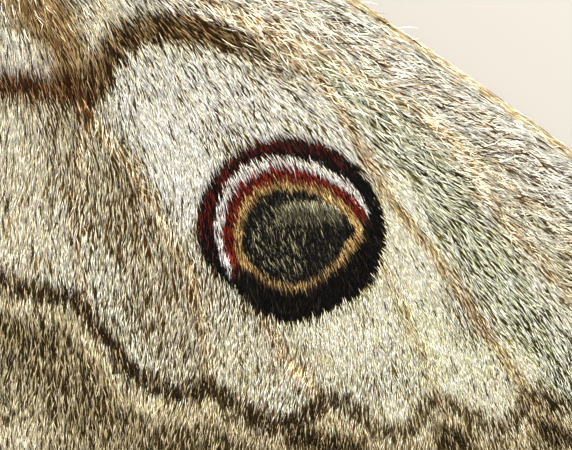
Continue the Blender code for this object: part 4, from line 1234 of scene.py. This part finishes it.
def body_colours(places, region, draw):
    """Return the coat's drawn colours at places on the body, and the mean ones for the skin."""
    along = places[:, 1] - THORAX_Y
    across = places[:, 0]
    grey = mottle(across + 20, along + 40 + places[:, 2], 1.4, 41)
    marks = Marks(across, along, (196, 182, 154), (98, 78, 54), 0.34)
    marks.share = np.clip(marks.share * (0.5 + grey), 0, 1)
    collar = ramp(along, -5.4, -4.6) * ramp(-2.9 - along, 0.0, 0.8)
    marks.lay(collar, (232, 222, 200), (160, 134, 102), 0.24)
    back = ramp(along, -2.4, -1.2) * ramp(4.6 - along, 0.0, 1.2) * ramp(places[:, 2], 6.0, 8.0)
    marks.lay(back * 0.8, (178, 162, 134), (84, 64, 42), 0.5)
    phase = np.cos(math.tau * (ring_turn(along) - 0.32))
    rear = ramp(along, 4.9, 6.4)
    marks.lay(rear, (202, 190, 166), (112, 92, 66), 0.42)
    marks.lay(rear * ramp(phase, 0.5, 0.95), (226, 216, 192), (160, 140, 108), 0.18)
    marks.lay(rear * ramp(-phase, 0.1, 0.9), (160, 142, 112), (84, 66, 44), 0.5)
    below = ramp(4.2 - places[:, 2], 0.0, 2.0)
    marks.lay(below * 0.6, (206, 194, 170), (130, 110, 84), 0.3)
    face = (region == 0).astype(float)
    marks.lay(face, (182, 156, 122), (98, 70, 46), 0.5)
    marks.lay((region == 3) * 1.0, (162, 134, 102), (88, 62, 40), 0.5)
    feet = (region == 3) * ramp(1.2 - places[:, 2], 0.0, 0.6)
    marks.lay(feet, (160, 130, 94), (96, 66, 42), 0.45)
    return marks.drawn(draw.random(len(places)) < marks.share), marks.blended()


def body_unwrap(places):
    """Return places on the body's unwrap: round it and along it, with the legs beside."""
    turn = np.arctan2(places[:, 0], places[:, 2] - 5.0) / math.tau + 0.5
    along = (places[:, 1] + 17.0) / 36.5
    region, near = region_of(places)
    on_leg = region == 3
    u = np.where(on_leg, 0.74 + 0.24 * (near / len(leg_points)), 0.02 + 0.68 * turn)
    v = np.where(on_leg, 0.02 + 0.96 * turn, 0.02 + 0.96 * along)
    return np.stack([u, v], axis=1)


def strands(roots, mids, tips, normals, widths):
    """Return the seven points of each bent three-sided strand."""
    along = unit(tips - roots)
    side = unit(np.cross(along, normals))
    up = np.cross(side, along)
    points = []
    for centre, share in ((roots, 0.8), (mids, 1.0)):
        for turn in (90.0, 210.0, 330.0):
            c, s = math.cos(math.radians(turn)), math.sin(math.radians(turn))
            points.append(centre + (side * c + up * s) * (0.5 * share * widths)[:, None])
    points.append(tips)
    return np.stack(points, axis=1) * MM


drawn, _ = body_colours(roots, region, draw)
drawn = drawn * draw.uniform(0.68, 0.98, (len(roots), 1))
widths = WIDTHS[region] * draw.uniform(0.7, 1.3, len(roots))
points = strands(roots - normals * 0.1, mids, tips, normals, widths)
for number, (name, slot) in enumerate((("head_fur", "body_fur"), ("thorax_fur", "body_fur"),
                                       ("abdomen_fur", "body_fur"), ("leg_coat", "leg_fur"))):
    own = region == number
    coat_total += coat_pieces(name, "strand", points[own], drawn[own], body_unwrap(roots[own]))
skin_places = vertex_rows(body.data) / MM
# The skin takes the coat's mean colours, darkened by painted shade for the fur above it.
paint_points(body.data, body_colours(skin_places, region_of(skin_places)[0], draw)[1] * BODY_SKIN_PAINTED_SHADE)
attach(body, "root")
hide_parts("head", "thorax", "abdomen", *[f"leg_{pair}_{hand}" for pair in LEGS for hand in SIDES])
print("triangles of coat so far:", coat_total)

# %% [markdown]
# ## Long hairs on the wings
# Longer, curved pale hairs lie over the wing's base and along the costa, a few stand off its edge, and
# the outer margin has a fringe of long scales. They are strands like the fur, laid in the wing's own
# millimetres.

# %% Long hairs over the wing's base and along its costa
HAIR_BEND = 16.0
LONG_HAIR_DENSITY = 26.0
COSTAL_HAIRS = {"forewing": (0.75, 4.2), "hindwing": (0.3, 2.6)}


def wing_hairs(what, kind, hand, x, y, draw, angle, length, width, rise, colours):
    """Lay bent strands on a wing's upper face."""
    count = len(x)
    bend = np.radians(angle + draw.normal(0.0, HAIR_BEND, count))
    angle = np.radians(angle)
    mx, my = x + 0.5 * length * np.cos(angle), y + 0.5 * length * np.sin(angle)
    tx, ty = mx + 0.5 * length * np.cos(bend), my + 0.5 * length * np.sin(bend)
    heights = (np.full(count, 0.02), rise, rise * draw.uniform(0.5, 1.4, count))
    base, middle, tip = (wing_place(kind, SIDES[hand], 1.0, px, py, height) / MM
                         for px, py, height in zip((x, mx, tx), (y, my, ty), heights))
    out = np.tile([0.0, 0.0, 1.0], (count, 1))
    points = strands(base, middle, tip, out, width * draw.uniform(0.7, 1.2, count))
    return coat_pieces(f"{kind}_{what}_{hand}", "strand", points, colours, unwrap_place(x, y, 1.0))


def long_hairs(kind, hand, seed):
    """Spread long hairs over a wing: dense at its root, and crossing each other along its costa."""
    front_share, front_depth = COSTAL_HAIRS[kind]
    x, y, order, draw = scatter(kind, LONG_HAIR_DENSITY, seed)
    base = 0.7 * ramp(9.0 - np.hypot(x, y - 3.0), 0.0, 6.0)
    front = front_share * ramp(front_depth - edge_gap(kind, x, y), 0.0, 1.6) * ramp(8.0 - y, 0.0, 2.0)
    front = front * ramp(30.0 - x, 0.0, 14.0)
    keep = order < np.maximum(base, front)
    x, y, base, front = x[keep], y[keep], base[keep], front[keep]
    angle = lie_angle(kind, x, y, draw) + draw.normal(0.0, 7.0, len(x)) * front
    length = draw.uniform(0.75, 1.25, len(x)) + 0.9 * ramp(5.0 - np.hypot(x, y - 3.0), 0.0, 4.0)
    is_tan = draw.random(len(x)) < 0.14 + 0.4 * base
    pale = np.where(is_tan[:, None], paint(168, 128, 82), paint(240, 232, 212))
    colours = pale * draw.uniform(0.82, 1.06, (len(x), 1))
    rise = draw.uniform(0.05, 0.13, len(x))
    return wing_hairs("long_hairs", kind, hand, x, y, draw, angle, length, 0.025, rise, colours)


print("long hairs for each square millimetre:", LONG_HAIR_DENSITY, "at most")

# %% Hairs on the veins, and single ones off the costa
JUNCTION = (9.8, 8.2)
SHORT_STRAYS = 46
LONG_STRAYS = [15.4, 17.0, 17.9, 18.6, 22.2, 23.3]


def vein_hairs(kind, hand, seed):
    """Lay fine tan hairs along the veins, a little across them."""
    draw = np.random.default_rng(seed)
    rows = []
    for vein in WINGS[kind]["veins"]:
        line = smooth_line(vein, 0.8)
        reach = np.hypot(*np.diff(line, axis=0).T).sum()
        points = evenly(line, max(4, int(4 * reach)))[1:-1]
        way = np.gradient(points, axis=0)
        rows.append(np.c_[points, np.degrees(np.arctan2(way[:, 1], way[:, 0]))])
    x, y, angle = np.vstack(rows).T
    x, y = x + draw.normal(0.0, 0.18, len(x)), y + draw.normal(0.0, 0.18, len(x))
    inside = edge_gap(kind, x, y) > 1.0
    if kind == "forewing":
        off_junction = np.hypot(x - JUNCTION[0], y - JUNCTION[1]) > 1.0
        inside &= (np.hypot(*spot_axes(x, y)) > 3.6) & off_junction
    x, y, angle = x[inside], y[inside], angle[inside] + draw.normal(0.0, 14.0, inside.sum())
    tan = np.where(draw.random(len(x))[:, None] < 0.5, paint(146, 112, 72), paint(208, 190, 156))
    colours = tan * draw.uniform(0.7, 1.0, (len(x), 1))
    length, rise = draw.uniform(0.5, 1.1, len(x)), draw.uniform(0.04, 0.1, len(x))
    return wing_hairs("vein_hairs", kind, hand, x, y, draw, angle, length, 0.022, rise, colours)


def costa_strays(hand, seed):
    """Stand a few single hairs off the forewing's front edge, as in the picture."""
    draw = np.random.default_rng(seed)
    x = np.concatenate([draw.uniform(9.0, 27.0, SHORT_STRAYS), LONG_STRAYS])
    count = len(x)
    y = np.interp(x, *np.array(WINGS["forewing"]["edge"][:7]).T) + draw.uniform(0.08, 0.3, count)
    angle = -draw.uniform(4.0, 38.0, count)
    is_short = np.arange(count) < SHORT_STRAYS
    length = np.where(is_short, draw.uniform(0.3, 0.7, count), draw.uniform(0.9, 1.6, count))
    colours = paint(236, 228, 206) * draw.uniform(0.8, 1.05, (count, 1))
    rise = draw.uniform(0.02, 0.2, count)
    return wing_hairs("strays", "forewing", hand, x, y, draw, angle, length, 0.022, rise, colours)


print("strays on each forewing:", SHORT_STRAYS, "short and", len(LONG_STRAYS), "long")

# %% The fringe, and all of these laid on the wings
FRINGE_COUNT = 2600


def fringe(kind, hand, seed):
    """Set long flat scales side by side along a wing's outer margin and back."""
    draw = np.random.default_rng(seed)
    line = wing_outline(kind)
    start = nearest_index(line, WINGS[kind]["edge"][WINGS[kind]["corners"][0] - 1])
    count = FRINGE_COUNT
    points = evenly(line[start:-6], count)
    way = np.gradient(points, axis=0)
    back_side = ramp(np.arange(count) / count, 0.62, 0.7)
    angle = np.arctan2(-way[:, 0], way[:, 1])
    x = points[:, 0] - 0.25 * np.cos(angle) + draw.normal(0.0, 0.05, count)
    y = points[:, 1] - 0.25 * np.sin(angle) + draw.normal(0.0, 0.05, count)
    marks = MARKS[kind](x, y)
    colours = 0.7 * marks.drawn(draw.random(count) < 0.5) + 0.3 * paint(176, 160, 130)
    colours = colours * draw.uniform(0.7, 1.1, (count, 1)) * (1.0 - 0.4 * back_side[:, None])
    angle = angle + np.radians(draw.normal(0.0, 10.0, count) + 35.0 * back_side)
    length = draw.uniform(0.6, 1.0, count)
    px, py = sliver_points(x, y, angle, length, draw.uniform(0.06, 0.1, count))
    sink = draw.uniform(-0.1, 0.0, count)
    heights = np.stack([np.full(count, 0.02), 0.4 * sink - 0.03, 0.4 * sink - 0.03, sink], axis=1)
    points = wing_place(kind, SIDES[hand], 1.0, px, py, heights)
    return coat_pieces(f"{kind}_fringe_{hand}", "fringe", points, colours, unwrap_place(x, y, 1.0))


for kind in WINGS:
    for hand in SIDES:
        coat_total += long_hairs(kind, hand, 201)
        coat_total += fringe(kind, hand, 202)
        coat_total += vein_hairs(kind, hand, 203)
for hand in SIDES:
    coat_total += costa_strays(hand, 204)
print("triangles of coat in all:", coat_total)

# %% [markdown]
# ## Eyes
# The compound eye is a dark glossy ball of hundreds of tiny lenses. A finely divided ball keeps its
# outline round, and a Voronoi pattern in the finish raises each lens a little, at its real size.
# Modelled lenses would take thousands more faces for the same look.

# %% Compound eyes
eye_finish, shader = new_material("compound_eye_finish", 0.22, 0.6)
links = eye_finish.node_tree.links
where = new_node(eye_finish, "TexCoord")
facets = new_node(eye_finish, "TexVoronoi", Scale=1.0 / (0.075 * MM), Randomness=0.25)
bump = new_node(eye_finish, "Bump", Strength=0.6, Distance=0.02 * MM)
bump.invert = True
tint = new_node(eye_finish, "ValToRGB")
tint.color_ramp.elements[0].color = (*paint(58, 40, 30), 1.0)
tint.color_ramp.elements[1].color = (*paint(14, 10, 9), 1.0)
tint.color_ramp.elements[1].position = 0.6
links.new(where.outputs["Object"], facets.inputs["Vector"])
links.new(facets.outputs["Distance"], bump.inputs["Height"])
links.new(facets.outputs["Distance"], tint.inputs["Fac"])
links.new(tint.outputs["Color"], shader.inputs["Base Color"])
links.new(bump.outputs["Normal"], shader.inputs["Normal"])
shader.inputs["Coat Weight"].default_value = 0.5
shader.inputs["Coat Roughness"].default_value = 0.12


def compound_eye(hand):
    """Set one eye in the head: a fine ball, flattened a little towards the head."""
    centre = Vector(eye_middle(hand)) * MM
    bpy.ops.object.select_all(action="DESELECT")
    bpy.ops.mesh.primitive_ico_sphere_add(subdivisions=5, radius=EYE_RADIUS * MM, location=centre)
    eye = bpy.context.object
    eye.name = f"compound_eye_{hand}"
    bpy.ops.object.mode_set(mode="EDIT")
    bpy.ops.mesh.select_all(action="SELECT")
    bpy.ops.transform.resize(value=(0.92, 0.98, 1.04), center_override=tuple(centre))
    bpy.ops.object.mode_set(mode="OBJECT")
    bpy.ops.object.transform_apply(location=True, rotation=True, scale=True)
    eye.data.shade_smooth()
    eye.data.materials.append(eye_finish)
    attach(eye, "root")
    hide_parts(f"eye_{hand}")
    return eye


eyes = [compound_eye(hand) for hand in SIDES]
print("eyes with", [len(eye.data.polygons) for eye in eyes], "faces")

# %% [markdown]
# ## Feelers and claws
# A female's feelers are threads with two rows of short teeth. The stem is a tube along the feeler's
# path, and each tooth a small tube that leaves it at a slant, all joined in one piece. The claws are
# two hooks at the end of each foot, curved tubes again, because a hook drawn from a cone's side looks
# flat.

# %% Feelers
FEELER_PATH = [(1.2, -7.45, 7.5), (1.75, -7.8, 8.3), (4.2, -9.4, 9.2), (8.6, -12.4, 8.6)]
FEELER_TEETH = 30
TOOTH_LENGTH = 1.2


def feeler(hand):
    """Make one feeler from its stem and two rows of teeth."""
    side = SIDES[hand]
    line = smooth_line([(side * x, THORAX_Y + y, z) for x, y, z in FEELER_PATH], 0.25)
    t = np.linspace(0.0, 1.0, len(line))
    radius = 0.2 - 0.12 * t + 0.02 * np.cos(t * FEELER_TEETH * math.tau)
    parts = [tube("stem", np.c_[line, radius], 2)]
    for tooth in range(FEELER_TEETH):
        t = (tooth + 1.5) / (FEELER_TEETH + 1.5)
        k = min(int(t * (len(line) - 1)), len(line) - 2)
        run = Vector(line[k + 1] - line[k]).normalized()
        root = Vector(line[k])
        across = run.cross(Vector((0.0, 0.0, 1.0))).normalized()
        reach = TOOTH_LENGTH * (0.3 + 0.7 * math.sin(math.pi * min(t * 0.92 + 0.04, 1.0)))
        for way in (-1.0, 1.0):
            out = across * way
            rows = []
            for s in (0.0, 0.3, 0.65, 1.0):
                place = root + out * reach * s + run * reach * (0.25 * s + 0.3 * s * s)
                place += Vector((0, 0, -0.18 * reach * s * s))
                rows.append((*place, 0.06 * (1.0 - 0.7 * s)))
            parts.append(tube("tooth", rows, 1))
    piece = joined(parts, f"feeler_{hand}", feeler_finish)
    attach(piece, "root")
    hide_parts(f"antenna_{hand}")
    return piece


feelers = [feeler(hand) for hand in SIDES]
print("feelers with", [len(piece.data.polygons) for piece in feelers], "faces")

# %% Claws
CLAW_LENGTH = 0.55


def claw_pair(line):
    """Make two small hooks at the end of a foot."""
    toe = Vector(line[-1][:3])
    run = Vector(line[-1][:3] - line[-3][:3]).normalized()
    across = run.cross(Vector((0.0, 0.0, 1.0))).normalized()
    hooks = []
    for way in (-1.0, 1.0):
        rows = []
        for s in (0.0, 0.35, 0.7, 1.0):
            place = toe + run * CLAW_LENGTH * (s - 0.15) + across * way * (0.09 + 0.16 * s)
            drop = 0.05 - 0.2 * s * s
            rows.append((place.x, place.y, max(place.z + drop, 0.05), 0.055 * (1.0 - 0.8 * s)))
        hooks.append(tube("hook", rows, 2))
    return hooks


claws = joined([hook for line in leg_lines.values() for hook in claw_pair(line)], "claws", claw_finish)
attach(claws, "root")
print("claws:", len(claws.data.polygons), "faces")

# %% [markdown]
# ## Camera and light
# The camera looks straight down on the wing's surface at the middle of the pictured part, turned as the
# picture is. It stands far off with a long lens, because a macro picture shows hardly any perspective.
# A key light from the upper left and a weaker fill from the right model each hair without deep shadows.

# %% Camera
CAMERA_DISTANCE = 120.0
SENSOR_WIDTH = 36.0
AIM = (17.85, 7.73)


def surface_point(x, y):
    """Return a place on the right forewing's upper face, in metres."""
    return Vector(wing_place("forewing", -1.0, 1.0, np.array([x]), np.array([y]), 0.0)[0])


aim = surface_point(*AIM)
along_costa = (surface_point(AIM[0] + 1, AIM[1]) - surface_point(AIM[0] - 1, AIM[1])).normalized()
behind_costa = (surface_point(AIM[0], AIM[1] + 1) - surface_point(AIM[0], AIM[1] - 1)).normalized()
right = (along_costa * PICTURE_RIGHT[0] + behind_costa * PICTURE_RIGHT[1]).normalized()
down = along_costa * PICTURE_DOWN[0] + behind_costa * PICTURE_DOWN[1]
back = right.cross(-down).normalized()
up = back.cross(right)
bpy.ops.object.camera_add()
camera = bpy.context.object
camera.name = "picture_camera"
rows = [(*row, middle + row[2] * CAMERA_DISTANCE * MM) for row, middle in zip(zip(right, up, back), aim)]
camera.matrix_world = Matrix((*rows, (0.0, 0.0, 0.0, 1.0)))
camera.data.sensor_width = SENSOR_WIDTH
camera.data.lens = SENSOR_WIDTH * CAMERA_DISTANCE / PICTURE_SIZE[0]
camera.data.clip_start = 0.005
camera.data.clip_end = 10.0
bpy.context.scene.camera = camera
print("camera looks along", [round(v, 2) for v in -back], "with a lens of", round(camera.data.lens), "mm")

# %% Floor and light
FLOOR_SIZE = 4.0
LIGHT_DISTANCE = 2.0
LIT_PLACE = Vector((0, 0, 0.006))
bpy.ops.object.select_all(action="DESELECT")
bpy.ops.mesh.primitive_plane_add(size=FLOOR_SIZE)
floor = bpy.context.object
floor.name = "studio_floor"
floor_finish, shader = new_material("studio_floor_finish", 0.9, 0.1)
shader.inputs["Base Color"].default_value = (*paint(112, 110, 106), 1.0)
floor.data.materials.append(floor_finish)


def soft_light(name, way, size, power, colour):
    """Add a square soft light that faces the animal from a direction."""
    place = aim + way.normalized() * LIGHT_DISTANCE
    bpy.ops.object.light_add(type="AREA", location=place)
    lamp = bpy.context.object
    lamp.name = name
    lamp.data.size = size
    lamp.data.energy = power
    lamp.data.color = colour
    lamp.rotation_euler = (place - LIT_PLACE).to_track_quat("Z", "Y").to_euler()


soft_light("key_light", back * 0.8 - right * 0.5 + up * 0.45, 0.53, 210.0, (1.0, 0.972, 0.925))
soft_light("fill_light", back * 0.7 + right * 0.7 - up * 0.3, 1.1, 29.0, (1.0, 0.975, 0.92))
world = bpy.data.worlds.new("studio_air")
bpy.context.scene.world = world
world.use_nodes = True
background = world.node_tree.nodes["Background"]
background.inputs["Color"].default_value = (1.0, 0.98, 0.93, 1.0)
background.inputs["Strength"].default_value = 1.2
bpy.context.scene.view_settings.view_transform = "Standard"
print("two soft lights over a floor of", FLOOR_SIZE, "m")
